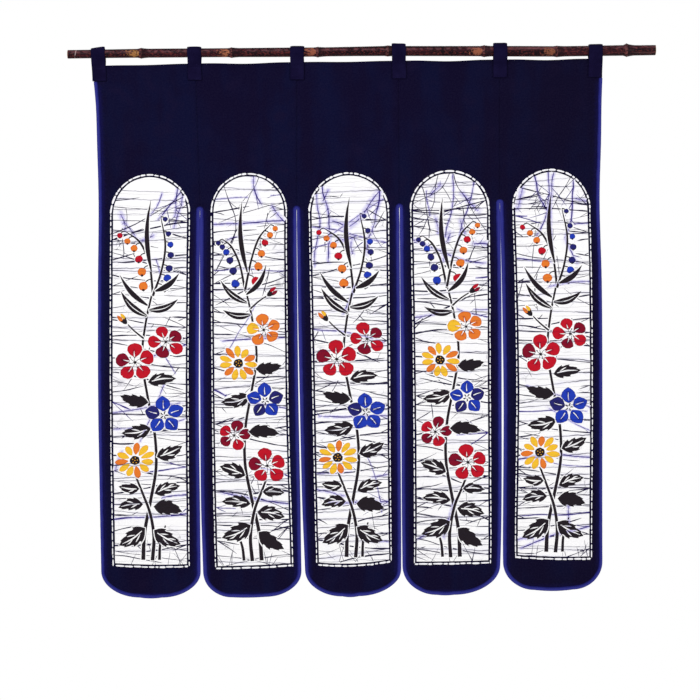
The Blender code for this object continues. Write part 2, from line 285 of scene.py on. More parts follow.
strips = (
    {"hem": 0.9205, "corners": (0.065, 0.065), "cornerHeight": 0.043, "bulge": 0.0015, "sag": 0.0022,
     "bow": -0.0048, "curl": 0.0070, "twist": -0.0036, "swing": -0.0024},
    {"hem": 0.9210, "corners": (0.046, 0.060), "cornerHeight": 0.043, "bulge": 0.0010, "sag": 0.0010,
     "bow": 0.0034, "curl": -0.0052, "twist": 0.0042, "swing": 0.0030},
    {"hem": 0.9207, "corners": (0.060, 0.070), "cornerHeight": 0.043, "bulge": 0.0015, "sag": 0.0016,
     "bow": -0.0040, "curl": 0.0062, "twist": 0.0026, "swing": -0.0036},
    {"hem": 0.9208, "corners": (0.057, 0.074), "cornerHeight": 0.049, "bulge": 0.0010, "sag": 0.0008,
     "bow": 0.0042, "curl": -0.0064, "twist": -0.0034, "swing": 0.0034},
    {"hem": 0.9130, "corners": (0.050, 0.050), "cornerHeight": 0.046, "bulge": 0.0020, "sag": 0.0004,
     "bow": -0.0032, "curl": 0.0050, "twist": 0.0046, "swing": -0.0018},
)
tabs = {
    "width": 0.0235,
    "thickness": 0.0020,
    "solid": 0.0022,  # what its solid measures
    "clothSolid": 0.0015,
    "clear": 0.0003,
    "bend": 0.004,
    "places": (-0.4195, -0.2582, -0.0852, 0.0874, 0.2582, 0.4190),
    "leans": (-0.0025, -0.0006, 0.0004, -0.0005, 0.0004, 0.0008),
    "ends": (0.0462, 0.0458, 0.0465, 0.0460, 0.0456, 0.0462),
    "slackLeft": (0.0002, 0.0008, 0.0002, 0.0022, 0.0030, 0.0003),  # how far each loop stands off the rod
    "slackRight": (0.0030, 0.0007, 0.0002, 0.0016, 0.0032, 0.0002),
    "dark": screen(12, 7, 38),
    "light": screen(27, 22, 60),
}


def slitCentre(line):
    return archTops[line] + curtain["slitEdge"] + tape["width"] - tape["reach"]


def edgeOffset(line, drop):  # how far the cloth's edge stands from a side or seam line
    if line not in archTops:
        return np.full_like(drop, tape["reach"])
    above = slitCentre(line) - drop
    below = curve(gapTable, line, drop) / 2 + tape["reach"]
    arc = np.sqrt(np.maximum(curtain["slitEdge"] ** 2 - above ** 2, 0))
    return np.where(above <= 0, below, np.maximum(arc, curtain["seamGap"] / 2))


def clothSides(strip, drop):
    left, right = lineNames[strip], lineNames[strip + 1]
    leftEdge = curve(lineTable, left, drop) + edgeOffset(left, drop)
    return leftEdge, curve(lineTable, right, drop) - edgeOffset(right, drop)


def freeStart(strip):  # from this drop down a strip hangs free of its neighbours
    return max(slitCentre(line) for line in lineNames[strip:strip + 2] if line in archTops)


def tabShare(x):  # which strip hangs at x, and how far x lies between its tabs
    places = np.array(tabs["places"])
    bay = np.clip(np.searchsorted(places, x, side="right") - 1, 0, len(strips) - 1)
    share = (x - places[bay]) / (places[bay + 1] - places[bay])
    return bay, np.clip((share - curtain["heldFlat"]) / (1 - 2 * curtain["heldFlat"]), 0, 1)


def headingTop(x):
    bay, share = tabShare(x)
    sag = np.array(curtain["headingSags"])[bay] * np.sin(math.pi * share) ** 2
    return np.interp(x, tabs["places"], curtain["headingTops"]) + sag


def clothDepth(strip, x, drop):
    bay, share = tabShare(x)
    bows = np.array([one["bow"] for one in strips])
    bow = bows[bay] * np.sin(math.pi * share) ** 2 * (1 - ease((drop - curtain["top"]) / curtain["bowFade"]))
    wave = curtain["waveDepth"] * np.sin(math.tau * x / curtain["waveLength"])
    wave = wave * ease((drop - curtain["waveStart"]) / curtain["waveFull"])
    own = strips[strip]
    left, right = clothSides(strip, drop)
    across = (2 * x - left - right) / (right - left)
    free = ease((drop - freeStart(strip)) / (own["hem"] - freeStart(strip)))
    hang = free * (own["curl"] * (across ** 2 - 0.4) + own["twist"] * across + own["swing"])
    return bow + wave + hang + clothCreases(strip, x, drop, left, right)


def clothCreases(strip, x, drop, left, right):
    # puckers beside the sewn edges, pull folds under the tabs, and slack in the rest
    toEdge = np.minimum(x - left, right - x)
    near = np.exp(-np.maximum(toEdge, 0) / curtain["puckerReach"])
    line = strip + (right - x < x - left)  # strips that are sewn together pucker together
    phase = math.tau * drop / curtain["puckerLength"] + 5 * softNoise(line * 4.0, drop * 21, 3)
    pucker = curtain["puckerDepth"] * near * np.sin(phase) * ease((drop - 0.05) / 0.06)
    places = np.array(tabs["places"])
    toTab = np.abs(x[..., None] - places).min(axis=-1)
    fan = curtain["pullWidth"] + curtain["pullSpread"] * np.maximum(drop - 0.04, 0)
    pull = -curtain["pullDepth"] * np.cos(math.pi * np.clip(toTab / fan, 0, 1))
    pull = pull * np.exp(-np.maximum(drop - 0.05, 0) / curtain["pullFade"])
    pull = pull * ease((drop - 0.048) / 0.02) * (toTab < fan)
    slack = softNoise(x * 24 + strip * 5, drop * 7, 11) - 0.5 + 0.5 * (softNoise(x * 60, drop * 19, 5) - 0.5)
    slack = curtain["creaseDepth"] * slack * ease((drop - 0.06) / 0.10)
    slitTops = np.array([archTops.get(name, 0) for name in lineNames])[line]
    sewn = ease((slitTops - 0.002 - drop) / 0.012)
    dip = curtain["seamDip"] * np.exp(-(toEdge / curtain["seamDipWidth"]) ** 2) * sewn
    return pucker + pull + dip + slack * ease(toEdge / 0.02)


def clothPoints(strip, x, drop):
    x, drop = np.asarray(x, float), np.asarray(drop, float)
    return np.stack([x + curtain["centreX"], clothDepth(strip, x, drop), -drop], axis=-1)


def clothNormals(strip, x, drop):  # towards the front
    step = 0.0008
    rightwards = clothPoints(strip, x + step, drop) - clothPoints(strip, x - step, drop)
    upwards = clothPoints(strip, x, drop - step) - clothPoints(strip, x, drop + step)
    normals = np.cross(rightwards, upwards)
    return normals / np.linalg.norm(normals, axis=-1, keepdims=True)


def sideRun(strip, side, start):  # one side of a strip, downwards, and round its corner to the hem
    own = strips[strip]
    cornerTop = own["hem"] - own["bulge"] - own["cornerHeight"]
    line = lineNames[strip + side]
    marks = [start]
    if line in archTops and start < slitCentre(line):
        turns = np.linspace(0, math.pi / 2, 7)
        marks += list(slitCentre(line) - curtain["slitEdge"] * np.cos(turns))
    marks.append(cornerTop)
    drops = [marks[0]]
    for here, there in zip(marks, marks[1:]):
        count = max(1, round((there - here) / curtain["outlineSpacing"]))
        drops += list(np.linspace(here, there, count + 1)[1:])
    turns = np.linspace(0, math.pi / 2, 22)[1:]
    inward = np.concatenate([np.zeros(len(drops)), own["corners"][side] * (1 - np.cos(turns))])
    drops = np.array(drops + list(cornerTop + own["cornerHeight"] * np.sin(turns)))
    edge = clothSides(strip, drops)[side] + (inward if side == 0 else -inward)
    return list(zip(edge, drops))


def hemRun(strip, start, end):
    own = strips[strip]
    count = max(2, round((end - start) / curtain["outlineSpacing"]))
    shares = np.linspace(-1, 1, count + 1)[1:-1]
    places = start + (end - start) * (shares + 1) / 2
    return list(zip(places, own["hem"] - own["bulge"] * shares ** 2))


def bottomRun(strip, leftStart, rightStart):  # down the left side, round the hem, up the right side
    left = sideRun(strip, 0, leftStart)
    right = sideRun(strip, 1, rightStart)
    return left + hemRun(strip, left[-1][0], right[-1][0]) + right[::-1]


def clothOutline(strip):
    corners = [curve(lineTable, line, curtain["top"]) for line in lineNames[strip:strip + 2]]
    run = bottomRun(strip, *(float(headingTop(corner)) for corner in corners))
    start, end = run[-1][0], run[0][0]
    count = round((start - end) / curtain["outlineSpacing"])
    x = np.linspace(start, end, count + 1)[1:-1]
    return np.array(run + list(zip(x, headingTop(x))))


# Dyed drawing: each window's own coordinates, in millimetres from the middle of its lower edge

window = {
    "halfWidth": 67.4,
    "heights": (664, 668, 662, 667, 659),
    "bottomDrops": (868, 871, 865.5, 868, 859.5),
    "lowNarrowing": 0.045,  # how much narrower the window is at its lower edge
    "lowSags": (1.5, 1.5, 4.5, 1.2, 1.8),
    "lowTilts": (-1.8, 3.8, 3.8, 2.0, -4.0),  # how much higher the lower edge is at its right end
    "shiftHeights": (30, 284, 554),
    "leftShifts": ((-1, 0, 0.5), (1, 1.5, 3), (1.5, 1.5, 0), (0.5, 0.5, -0.5), (-0.5, 3, 3)),
    "rightShifts": ((3, 3.5, 2.5), (5.5, 1, -1), (2, 3, 3), (3.5, 1.5, 1), (2.5, 2, 2)),
    "dashWidth": 3.1,
    "lineWidth": 2.5,
    "archDash": (5.0, 17.0),
    "sideDash": (4.0, 12.0),
    "sideThinness": 0.60,  # the dashes down the sides are thinner
    "gap": (1.7, 3.0),  # between dashes
    "narrowGap": (0.3, 0.9),
    "gapShare": 0.75,  # how many of the gaps are not narrow
    "archGapShare": 0.7,  # gaps are closer round the arch
    "wobble": 0.5,
    "halo": 1.7,  # white left round each flower and leaf
}
dyes = {
    "navy": screen(11, 6, 36),
    "ground": screen(253, 252, 253),
    "dash": screen(250, 249, 253),
    "ink": screen(36, 30, 34),
    "red": screen(190, 22, 38),
    "redRim": screen(142, 12, 34),
    "maroon": screen(128, 16, 38),
    "maroonRim": screen(74, 12, 34),
    "orange": screen(230, 122, 44),
    "orangeRim": screen(184, 76, 30),
    "yellow": screen(244, 192, 50),
    "yellowRim": screen(216, 136, 30),
    "blue": screen(34, 60, 178),
    "blueRim": screen(24, 32, 120),
    "indigo": screen(38, 38, 108),
    "indigoRim": screen(26, 22, 66),
    "crackDark": screen(24, 16, 56),
    "crackViolet": screen(58, 47, 126),
}
# how far wax cracks mark each dye
waxed = {"ground": 1.0, "dash": 0.2, "ink": 0.1, "crackDark": 0.1, "navy": 0.0, "other": 0.45}


def region(points, dye):
    return {"points": np.array(points, float), "dye": dye}


def smoothPath(points, steps=6):  # a smooth curve through a few points
    points = np.array(points, float)
    padded = np.vstack([2 * points[0] - points[1], points, 2 * points[-1] - points[-2]])
    path = []
    for a, b, c, d in zip(padded, padded[1:], padded[2:], padded[3:]):
        for t in np.arange(steps) / steps:
            curved = (2 * a - 5 * b + 4 * c - d) * t ** 2 + (3 * b - a - 3 * c + d) * t ** 3
            path.append(0.5 * (2 * b + (c - a) * t + curved))
    path.append(points[-1])
    return np.array(path)


def stroke(points, widths, dye="ink", steps=6):  # a brush stroke, its width given at each point
    path = smoothPath(points, steps)
    width = smoothPath([(w, 0) for w in widths], steps)[:, 0]
    ahead = np.gradient(path, axis=0)
    ahead /= np.linalg.norm(ahead, axis=1, keepdims=True) + 1e-9
    beside = np.stack([-ahead[:, 1], ahead[:, 0]], axis=1) * np.maximum(width, 0.15)[:, None] / 2
    return region(np.vstack([path + beside, (path - beside)[::-1]]), dye)


def turned(points, degrees, centre=(0, 0)):
    a = math.radians(degrees)
    points = np.array(points, float)
    x = points[:, 0] * math.cos(a) - points[:, 1] * math.sin(a)
    z = points[:, 0] * math.sin(a) + points[:, 1] * math.cos(a)
    return np.stack([x + centre[0], z + centre[1]], axis=1)


def blot(centre, width, height, dye, degrees=0, points=12):
    turns = math.tau * np.arange(points) / points
    swell = np.array([1 + chance.uniform(-0.08, 0.08) for _ in turns])
    ring = np.stack([width / 2 * np.cos(turns) * swell, height / 2 * np.sin(turns) * swell], axis=1)
    return region(turned(ring, degrees, centre), dye)


def grown(points, margin):  # an outline moved outwards, or inwards by a margin below 0
    points = counterClockwise(np.array(points, float))
    ahead = np.roll(points, -1, axis=0) - np.roll(points, 1, axis=0)
    ahead /= np.linalg.norm(ahead, axis=1, keepdims=True) + 1e-9
    return points + np.stack([ahead[:, 1], -ahead[:, 0]], axis=1) * margin


def parted(drawn):  # bare cloth left round what is drawn, so that it stands apart from what lies behind
    dyed = [one for one in drawn if one["dye"] != "ground"]
    return [region(grown(one["points"], window["halo"]), "ground") for one in dyed] + drawn


def petal(start, end, width, fullest, blunt):  # along +x; fullest above 1 is widest past the middle
    t = np.linspace(0, 1, 13)
    half = width / 2 * np.sin(math.pi * t ** fullest) ** blunt
    half *= np.array([1 + chance.uniform(-0.05, 0.05) for _ in t])
    half[0] = width * 0.07
    x = start + (end - start) * t
    return np.vstack([np.stack([x, half], 1), np.stack([x, -half], 1)[-2::-1]])


def openFlower(centre, radius, petals, turn, colours, heart, fullest, blunt, squash=0.88, tilt=0, gap=1.9):
    # petals parted by bare cloth round a heart of this share of the radius
    drawn = []
    width = math.tau * radius * (0.5 + heart / 2) / petals - gap
    for i in range(petals):
        degrees = turn + 360 * i / petals + chance.uniform(-3, 3)
        length = radius * chance.uniform(0.93, 1.06)
        shape = petal(radius * heart, length, width * chance.uniform(0.93, 1.06), fullest, blunt)
        shape = turned(shape, degrees) * (1, squash)
        drawn.append(region(turned(shape, tilt, centre), colours[i % len(colours)]))
    ring = np.array([(math.cos(a), squash * math.sin(a)) for a in np.linspace(0, math.tau, 15)[:-1]])
    return [region(turned(ring * radius * (heart + 0.25), tilt, centre), "ground")] + parted(drawn)


def flowerVein(radius, marks, turn, squash, tilt, centre, widths):  # a bare line along a petal
    vein = turned([(radius * out, aside) for out, aside in marks], turn) * (1, squash)
    return stroke(turned(vein, tilt, centre), widths, "ground", 4)


def plumFlower(centre, radius, turn, colours, squash=0.9, tilt=0):  # five round petals and long stamens
    drawn = openFlower(centre, radius, 5, turn, colours, 0.27, 1.25, 0.52, squash, tilt)
    for i in range(5):
        marks = ((0.30, 0), (0.42, 0.4), (0.60, 0))
        drawn.append(flowerVein(radius, marks, turn + 72 * i, squash, tilt, centre, (1.9, 1.5, 0.3)))
    for i in range(7):
        degrees = turn + 20 + 360 * i / 7 + chance.uniform(-9, 9)
        reach = radius * chance.uniform(0.22, 0.34)
        path = turned([(radius * 0.07, 0), (reach * 0.6, radius * 0.03), (reach, 0)], degrees, centre)
        drawn.append(stroke(path, (1.0, 0.8, 0.9), "ink", 3))
        drawn.append(blot(path[-1], 2.6, 2.2, "ink", degrees, 8))
    return drawn + [blot(centre, radius * 0.16, radius * 0.14, "ink", 0, 9)]


def daisyFlower(centre, radius, turn, colours, squash=0.86, tilt=0):  # slim petals round a dark eye
    drawn = openFlower(centre, radius, 11, turn, colours, 0.34, 1.2, 0.55, squash, tilt, 1.6)
    drawn.append(blot(centre, radius * 0.50, radius * 0.46, "ink", tilt, 14))
    for i in range(6):
        spot = turned([(radius * (0.13 if i else 0), 0)], turn + 72 * i, centre)[0]
        drawn.append(blot(spot, 2.1, 1.9, "yellow", 0, 7))
    return drawn


def starFlower(centre, radius, turn, colours, squash=0.9, tilt=0):  # five pointed petals
    drawn = openFlower(centre, radius, 5, turn, colours, 0.22, 0.92, 0.78, squash, tilt)
    for i in range(5):
        marks = ((0.36, 0), (0.56, 0.5), (0.78, 0))
        drawn.append(flowerVein(radius, marks, turn + 72 * i, squash, tilt, centre, (1.7, 1.3, 0.4)))
        comma = [(radius * 0.05, 0), (radius * 0.14, 1.2), (radius * 0.21, 0.4)]
        drawn.append(stroke(turned(comma, turn + 36 + 72 * i, centre), (1.0, 2.2, 0.8), "ink", 4))
    return drawn


def bud(centre, size, degrees, colours):  # closed petals in a toothed dark cup, along +x
    upper = [(-0.95, 0.12), (-0.62, 0.40), (-0.20, 0.50), (0.12, 0.62), (-0.06, 0.24)]
    cup = upper + [(0.16, 0.0)] + [(x, -z) for x, z in upper[::-1]]
    left = petal(-0.25 * size, 1.0 * size, 0.52 * size, 1.0, 0.7) + (0, 0.26 * size)
    right = petal(-0.25 * size, 0.9 * size, 0.50 * size, 1.0, 0.7) - (0, 0.27 * size)
    petals = [region(turned(one, degrees, centre), dye) for one, dye in zip((left, right), colours)]
    return parted(petals + [region(turned(np.array(cup) * size * 0.8, degrees, centre), "ink")])


def toothedLeaf(base, tip, width, teeth=3, bend=0.0, slits=0):
    base, tip = np.array(base, float), np.array(tip, float)
    along = tip - base
    length = np.linalg.norm(along)
    beside = np.array([-along[1], along[0]]) / length

    def at(t, side):
        half = width / 2 * math.sin(math.pi * min(t, 1) ** 0.72) ** 0.8
        return base + along * t + beside * (side * half + bend * length * math.sin(math.pi * t))
    upper, lower = [], []
    for i in range(teeth):
        t = 0.10 + 0.80 * i / teeth
        out = t + 0.80 * 0.82 / teeth
        for side, edge in ((1, upper), (-1, lower)):
            edge.append(at(t + 0.02, side * 0.86))
            edge.append(at((t + out) / 2, side * 1.02))
            edge.append(at(out, side * 1.16) + along * 0.035)
            edge.append(at(out + 0.01, side * 0.92))
    drawn = [region([at(0, 0)] + upper + [at(1, 0)] + lower[::-1], "ink")]
    if slits:
        drawn.append(stroke([at(0.14, 0), at(0.5, 0.05), at(0.88, 0)], (1.3, 2.5, 0.5), "ground", 5))
    for i in range(slits - 1):
        side = 1 if i % 2 == 0 else -1
        t = 0.24 + 0.15 * i
        vein = [at(t, side * 0.16), at(t + 0.13, side * 0.42), at(t + 0.25, side * 0.66)]
        drawn.append(stroke(vein, (0.7, 2.0, 0.4), "ground", 4))
    return parted(drawn)


def longLeaf(base, tip, width, bend=0.0, vein=True):  # slender leaf, its vein left bare
    base, tip = np.array(base, float), np.array(tip, float)
    along = tip - base
    beside = np.array([-along[1], along[0]])
    spine = [base + along * t + beside * bend * math.sin(math.pi * t) for t in (0, 0.25, 0.5, 0.75, 1)]
    drawn = [stroke(spine, (width * 0.3, width * 0.95, width, width * 0.62, 0.3))]
    if vein:
        drawn.append(stroke(spine[:4], (0.5, 1.3, 1.1, 0.3), "ground"))
    return parted(drawn)


def stem(*points, widths):
    shares = np.linspace(0, 1, len(points))
    return parted([stroke(points, np.interp(shares, np.linspace(0, 1, len(widths)), widths))])


def berries(path, count, size, colours, side, hang=0.9):  # an arching stalk with berries hung along it
    line = smoothPath(path, 8)
    drawn = [stroke(path, [4.2] + [3.4] * (len(path) - 2) + [1.2])]
    fruit = []
    for i in range(count):
        t = 0.18 + 0.82 * i / (count - 1)
        spot = line[int(t * (len(line) - 1))]
        across = size * (1.25 - 0.55 * t)
        centre = spot + np.array([side * across * 0.85, -across * hang])
        drawn.append(stroke([spot, spot + (centre - spot) * (0.6, 0.25), centre], (2.0, 1.8, 1.8), "ink", 3))
        fruit.append(blot(centre, across, across * 0.94, colours[i % len(colours)], 0, 11))
        fruit.append(blot(centre - (0, across * 0.42), across * 0.30, across * 0.26, "ink", 0, 7))
    return parted(drawn + fruit)


def firstDrawing():  # a stem that swings right and back: yellow, blue, two reds, and berries to both sides
    d = stem((-13, 12), (-10, 58), (1, 112), (11, 168), (9, 226), (-3, 290), (-12, 352), (-6, 412), (6, 468),
             widths=(7.0, 6.0, 5.4, 5.0, 4.6, 4.2, 4.0, 3.6, 3.2))
    d += stem((3, 11), (6, 50), (0, 90), (-14, 128), (-25, 156), widths=(6.4, 5.6, 4.8, 4.0, 3.2))
    d += stem((15, 12), (17, 40), (26, 70), widths=(5.0, 4.2, 2.4))
    d += toothedLeaf((-9, 66), (-55, 36), 27, 3, 0.05, 4)
    d += toothedLeaf((6, 62), (52, 38), 25, 3, -0.06, 4)
    d += toothedLeaf((-12, 106), (-55, 100), 20, 3, -0.08, 3)
    d += toothedLeaf((6, 102), (55, 93), 24, 3, 0.06, 0)
    d += toothedLeaf((8, 124), (52, 137), 20, 3, 0.06, 4)
    d += toothedLeaf((-18, 132), (-54, 136), 17, 2, 0.04, 2)
    d += daisyFlower((-25, 180), 34, 10, ("yellow", "yellow", "orange"), 0.86, 12)
    d += toothedLeaf((12, 186), (56, 204), 22, 3, -0.06, 3)
    d += toothedLeaf((3, 234), (-48, 226), 23, 3, 0.05, 3)
    d += toothedLeaf((-1, 278), (-50, 290), 20, 3, 0.06, 0)
    d += starFlower((25, 256), 35, 28, ("blue", "blue", "indigo"), 0.92, -8)
    d += toothedLeaf((-2, 312), (46, 318), 20, 3, 0.05, 2)
    d += plumFlower((28, 380), 31, 50, ("maroon", "red", "red"), 0.88, -14)
    d += plumFlower((-24, 346), 35, 14, ("red", "red", "maroon"), 0.92, 8)
    d += stem((-9, 386), (-24, 398), (-36, 410), widths=(3.0, 2.6, 2.0))
    d += bud((-44, 418), 12, 130, ("orange", "yellow"))
    d += longLeaf((-4, 424), (-48, 466), 11, 0.10)
    d += longLeaf((0, 434), (48, 452), 11, -0.12)
    d += longLeaf((-3, 442), (-50, 494), 8, 0.08, False)
    d += berries([(6, 462), (0, 510), (-16, 548), (-42, 568)], 6, 14, ("orange", "orange", "red"), -1, 0.75)
    d += berries([(6, 458), (20, 500), (26, 544), (18, 592)], 7, 12.5, ("indigo", "blue", "indigo"), 1, 0.5)
    d += longLeaf((10, 466), (50, 496), 9, -0.10, False)
    d += longLeaf((3, 500), (1, 620), 7.5, 0.06, False)
    return d


def secondDrawing():  # the stem swings left and back: red, blue, yellow, orange, and berries to both sides
    d = stem((13, 12), (10, 60), (-1, 116), (-11, 176), (-9, 238), (3, 300), (12, 358), (5, 420), (-7, 474),
             widths=(7.0, 6.0, 5.4, 5.0, 4.6, 4.2, 4.0, 3.6, 3.2))
    d += stem((-3, 11), (-5, 52), (3, 96), (17, 130), (26, 152), widths=(6.4, 5.6, 4.8, 4.0, 3.2))
    d += stem((-17, 12), (-20, 38), (-30, 64), widths=(5.0, 4.2, 2.4))
    d += toothedLeaf((9, 60), (52, 31), 24, 3, -0.05, 0)
    d += toothedLeaf((-4, 72), (-54, 51), 27, 3, 0.06, 4)
    d += toothedLeaf((8, 94), (55, 85), 24, 3, 0.05, 4)
    d += toothedLeaf((-3, 108), (-53, 112), 20, 3, -0.06, 3)
    d += toothedLeaf((18, 128), (56, 126), 17, 2, 0.04, 2)
    d += plumFlower((27, 172), 34, 32, ("red", "red", "maroon"), 0.9, -8)
    d += toothedLeaf((-11, 156), (-55, 172), 23, 3, -0.05, 3)
    d += plumFlower((-29, 224), 29, 60, ("maroon", "red"), 0.88, 14)
    d += toothedLeaf((-4, 230), (50, 226), 21, 3, 0.05, 0)
    d += toothedLeaf((0, 290), (-51, 280), 22, 3, 0.06, 3)
    d += starFlower((26, 282), 33, 10, ("indigo", "blue", "blue"), 0.92, 10)
    d += toothedLeaf((10, 336), (56, 342), 20, 3, -0.05, 0)
    d += daisyFlower((-20, 346), 34, 4, ("yellow", "orange", "yellow"), 0.88, -10)
    d += plumFlower((25, 402), 31, 20, ("orange", "orange", "yellow"), 0.86, 8)
    d += longLeaf((2, 428), (-46, 436), 11, 0.12)
    d += stem((2, 438), (16, 450), (30, 459), widths=(3.0, 2.6, 2.0))
    d += bud((39, 465), 12, 35, ("red", "maroon"))
    d += longLeaf((-4, 448), (-50, 486), 10, 0.10)
    leftStalk = [(-7, 468), (-16, 512), (-30, 542), (-46, 556)]
    d += berries(leftStalk, 6, 13, ("blue", "indigo", "indigo"), -1, 0.7)
    d += berries([(-7, 470), (4, 520), (18, 558), (38, 580)], 6, 14, ("red", "orange", "orange"), 1, 0.7)
    d += longLeaf((-5, 462), (30, 512), 8, -0.12, False)
    d += longLeaf((-3, 500), (-12, 620), 8, 0.06, False)
    return d


# Wax cracks, drawn one by one; the finest ones are in the finish

cracks = {
    "archCounts": (3, 3, 4, 6, 5),  # down from each window's arch
    "topCounts": (7, 6, 9, 15, 10),  # short ones near the arch
    "steepCounts": (6, 6, 6, 6, 9),
    "sideSpacing": (9, 29),
    "archLength": (40, 170),
    "archWidth": (1.2, 2.1),
    "topLength": (14, 48),
    "sideLengths": ((16, 42), (40, 85), (100, 150)),
    "steepLength": (28, 105),
    "hairs": 7,  # up from the lower edge
    "violet": {"arch": 0.75, "top": 0.55, "side": 0.12, "steep": 0.35},  # how many are violet
    "creep": (3, 8.5),  # how far violet dye creeps out of them
    "bold": (1.6, 2.3),
    "slim": (0.85, 1.3),
}


def heading(degrees):
    return np.array([math.cos(math.radians(degrees)), math.sin(math.radians(degrees))])


def inWindow(strip, point, inset):
    side = window["heights"][strip] - window["halfWidth"]
    fromCentre = math.hypot(point[0], max(point[1] - side, 0))
    return fromCentre < window["halfWidth"] - inset and point[1] > inset - 2


def crackPath(strip, start, degrees, length, kink, bend):  # ends where it meets the border
    inset = window["dashWidth"] + window["lineWidth"]
    steps = max(3, round(length / 13))
    points = [np.array(start, float)]
    for _ in range(steps):
        degrees += chance.uniform(-kink, kink) + bend / steps
        here, ahead = points[-1], points[-1] + heading(degrees) * length / steps
        if inWindow(strip, ahead, inset):
            points.append(ahead)
            continue
        for _ in range(5):
            middle = (here + ahead) / 2
            if inWindow(strip, middle, inset):
                here = middle
            else:
                ahead = middle
        points.append(ahead)
        return points, True
    return points, False


def crackKnot(centre, size, dye):  # a spiky blot where cracks meet
    spikes, turn = chance.randint(4, 6), chance.uniform(0, 360)
    points = []
    for i in range(spikes):
        points.append(centre + heading(turn + 360 * i / spikes) * size * chance.uniform(0.9, 2.3))
        points.append(centre + heading(turn + 360 * (i + 0.5) / spikes) * size * chance.uniform(0.35, 0.6))
    return region(points, dye)


def windowCracks(strip):  # with the lines that dye has crept out from, and how far
    edge = window["halfWidth"] - window["dashWidth"] - window["lineWidth"]
    side = window["heights"][strip] - window["halfWidth"]
    halos, lines, creeps = [], [], []

    def add(start, degrees, length, width, dye="crackDark", creep=0.0, kink=6, bend=0.0):
        path, atBorder = crackPath(strip, start, degrees, length, kink, bend)
        widths = [width * chance.uniform(0.55, 1.3) for _ in path]
        if not atBorder:
            widths[-1] = width * 0.25
        lines.append(stroke(path, widths, dye, 2))
        if creep:
            halos.append(stroke(path, [2 * creep] * len(path), "ground", 2))
            creeps.append((np.array(path), creep))
        return path

    def branch(path, degrees, length, width, dye, count):
        for _ in range(count):
            at = path[chance.randint(1, len(path) - 1)]
            turn = degrees + chance.choice((-1, 1)) * chance.uniform(22, 62)
            add(at, turn, length * chance.uniform(0.25, 0.6), width * 0.62, dye)
            if chance.random() < 0.55:
                lines.append(crackKnot(at, width * 0.95, dye))

    def dyeChoice(kind):
        if chance.random() < cracks["violet"][kind]:
            return "crackViolet", chance.uniform(*cracks["creep"])
        return "crackDark", 0.0
    for _ in range(cracks["archCounts"][strip]):
        turn = chance.uniform(28, 152)
        dye, creep = dyeChoice("arch")
        lean = -90 - 18 * math.cos(math.radians(turn)) + chance.uniform(-15, 15)
        length, width = chance.uniform(*cracks["archLength"]), chance.uniform(*cracks["archWidth"])
        bend = chance.uniform(-24, 24)
        path = add(heading(turn) * edge + (0, side), lean, length, width, dye, creep, 14, bend)
        branch(path, lean, 70, width, dye, chance.randint(1, 3))
    for _ in range(cracks["topCounts"][strip]):
        start = (edge * chance.uniform(-0.85, 0.7), side + chance.uniform(-70, 45))
        lean = chance.choice((0, 0, -65, 60, -95)) + chance.uniform(-22, 22)
        dye, creep = dyeChoice("top")
        width = chance.uniform(0.9, 1.6)
        path = add(start, lean, chance.uniform(*cracks["topLength"]), width, dye, creep, 14)
        branch(path, lean, 30, width, dye, chance.randint(0, 2))
    for toSide in (-1, 1):
        z = chance.uniform(8, 22)
        while z < side + 30:
            reach = math.sqrt(edge ** 2 - max(z - side, 0) ** 2)
            inward = 180 if toSide > 0 else 0
            lean = inward + chance.uniform(-8, 8) * (1 if chance.random() < 0.75 else 3.5)
            length = chance.choice([chance.uniform(*lengths) for lengths in cracks["sideLengths"]])
            dye, creep = dyeChoice("side")
            width = chance.uniform(*cracks["bold" if chance.random() < 0.65 else "slim"])
            path = add((toSide * reach, z), lean, length, width, dye, creep * 0.6, 5, chance.uniform(-10, 10))
            if chance.random() < 0.30:  # a fan of two or three from one place
                for _ in range(chance.randint(1, 2)):
                    add((toSide * reach, z), lean + chance.choice((-1, 1)) * chance.uniform(8, 30),
                        chance.uniform(14, 55), width * 0.7, dye)
            elif chance.random() < 0.25:  # a fork that meets it
                fork = (toSide * reach, z + chance.choice((-1, 1)) * chance.uniform(4, 8))
                lines.append(stroke([fork, path[1]], (width * 0.8, width * 0.6), dye, 2))
            if chance.random() < 0.3:
                branch(path, lean, 34, width, dye, 1)
            z += chance.uniform(*cracks["sideSpacing"])
    for _ in range(cracks["steepCounts"][strip]):
        start = (edge * chance.uniform(-0.9, 0.9), chance.uniform(60, side))
        dye, creep = dyeChoice("steep")
        width = chance.uniform(0.9, 1.5)
        lean = -90 + chance.uniform(-32, 32)
        length = chance.uniform(*cracks["steepLength"])
        path = add(start, lean, length, width, dye, creep * 0.6, 6, chance.uniform(-20, 20))
        branch(path, lean, 24, width, dye, chance.randint(0, 2))
    for _ in range(cracks["hairs"]):
        start = (edge * chance.uniform(-0.95, 0.95), 4)
        add(start, 90 + chance.uniform(-42, 42), chance.uniform(12, 45), 0.9)
    return halos + lines, creeps


def creptDye(strip, creeps, x, drop):  # how strongly dye has crept to each point
    points = np.stack([x, drop], axis=1)
    most = np.zeros(len(x))
    for path, creep in creeps:
        path = ontoCloth(strip, path)
        for a, b in zip(path, path[1:]):
            along = b - a
            share = np.clip((points - a) @ along / (along @ along + 1e-12), 0, 1)
            gap = np.linalg.norm(points - a - share[:, None] * along, axis=1)
            most = np.maximum(most, 1 - gap / (creep * mm))
    return most


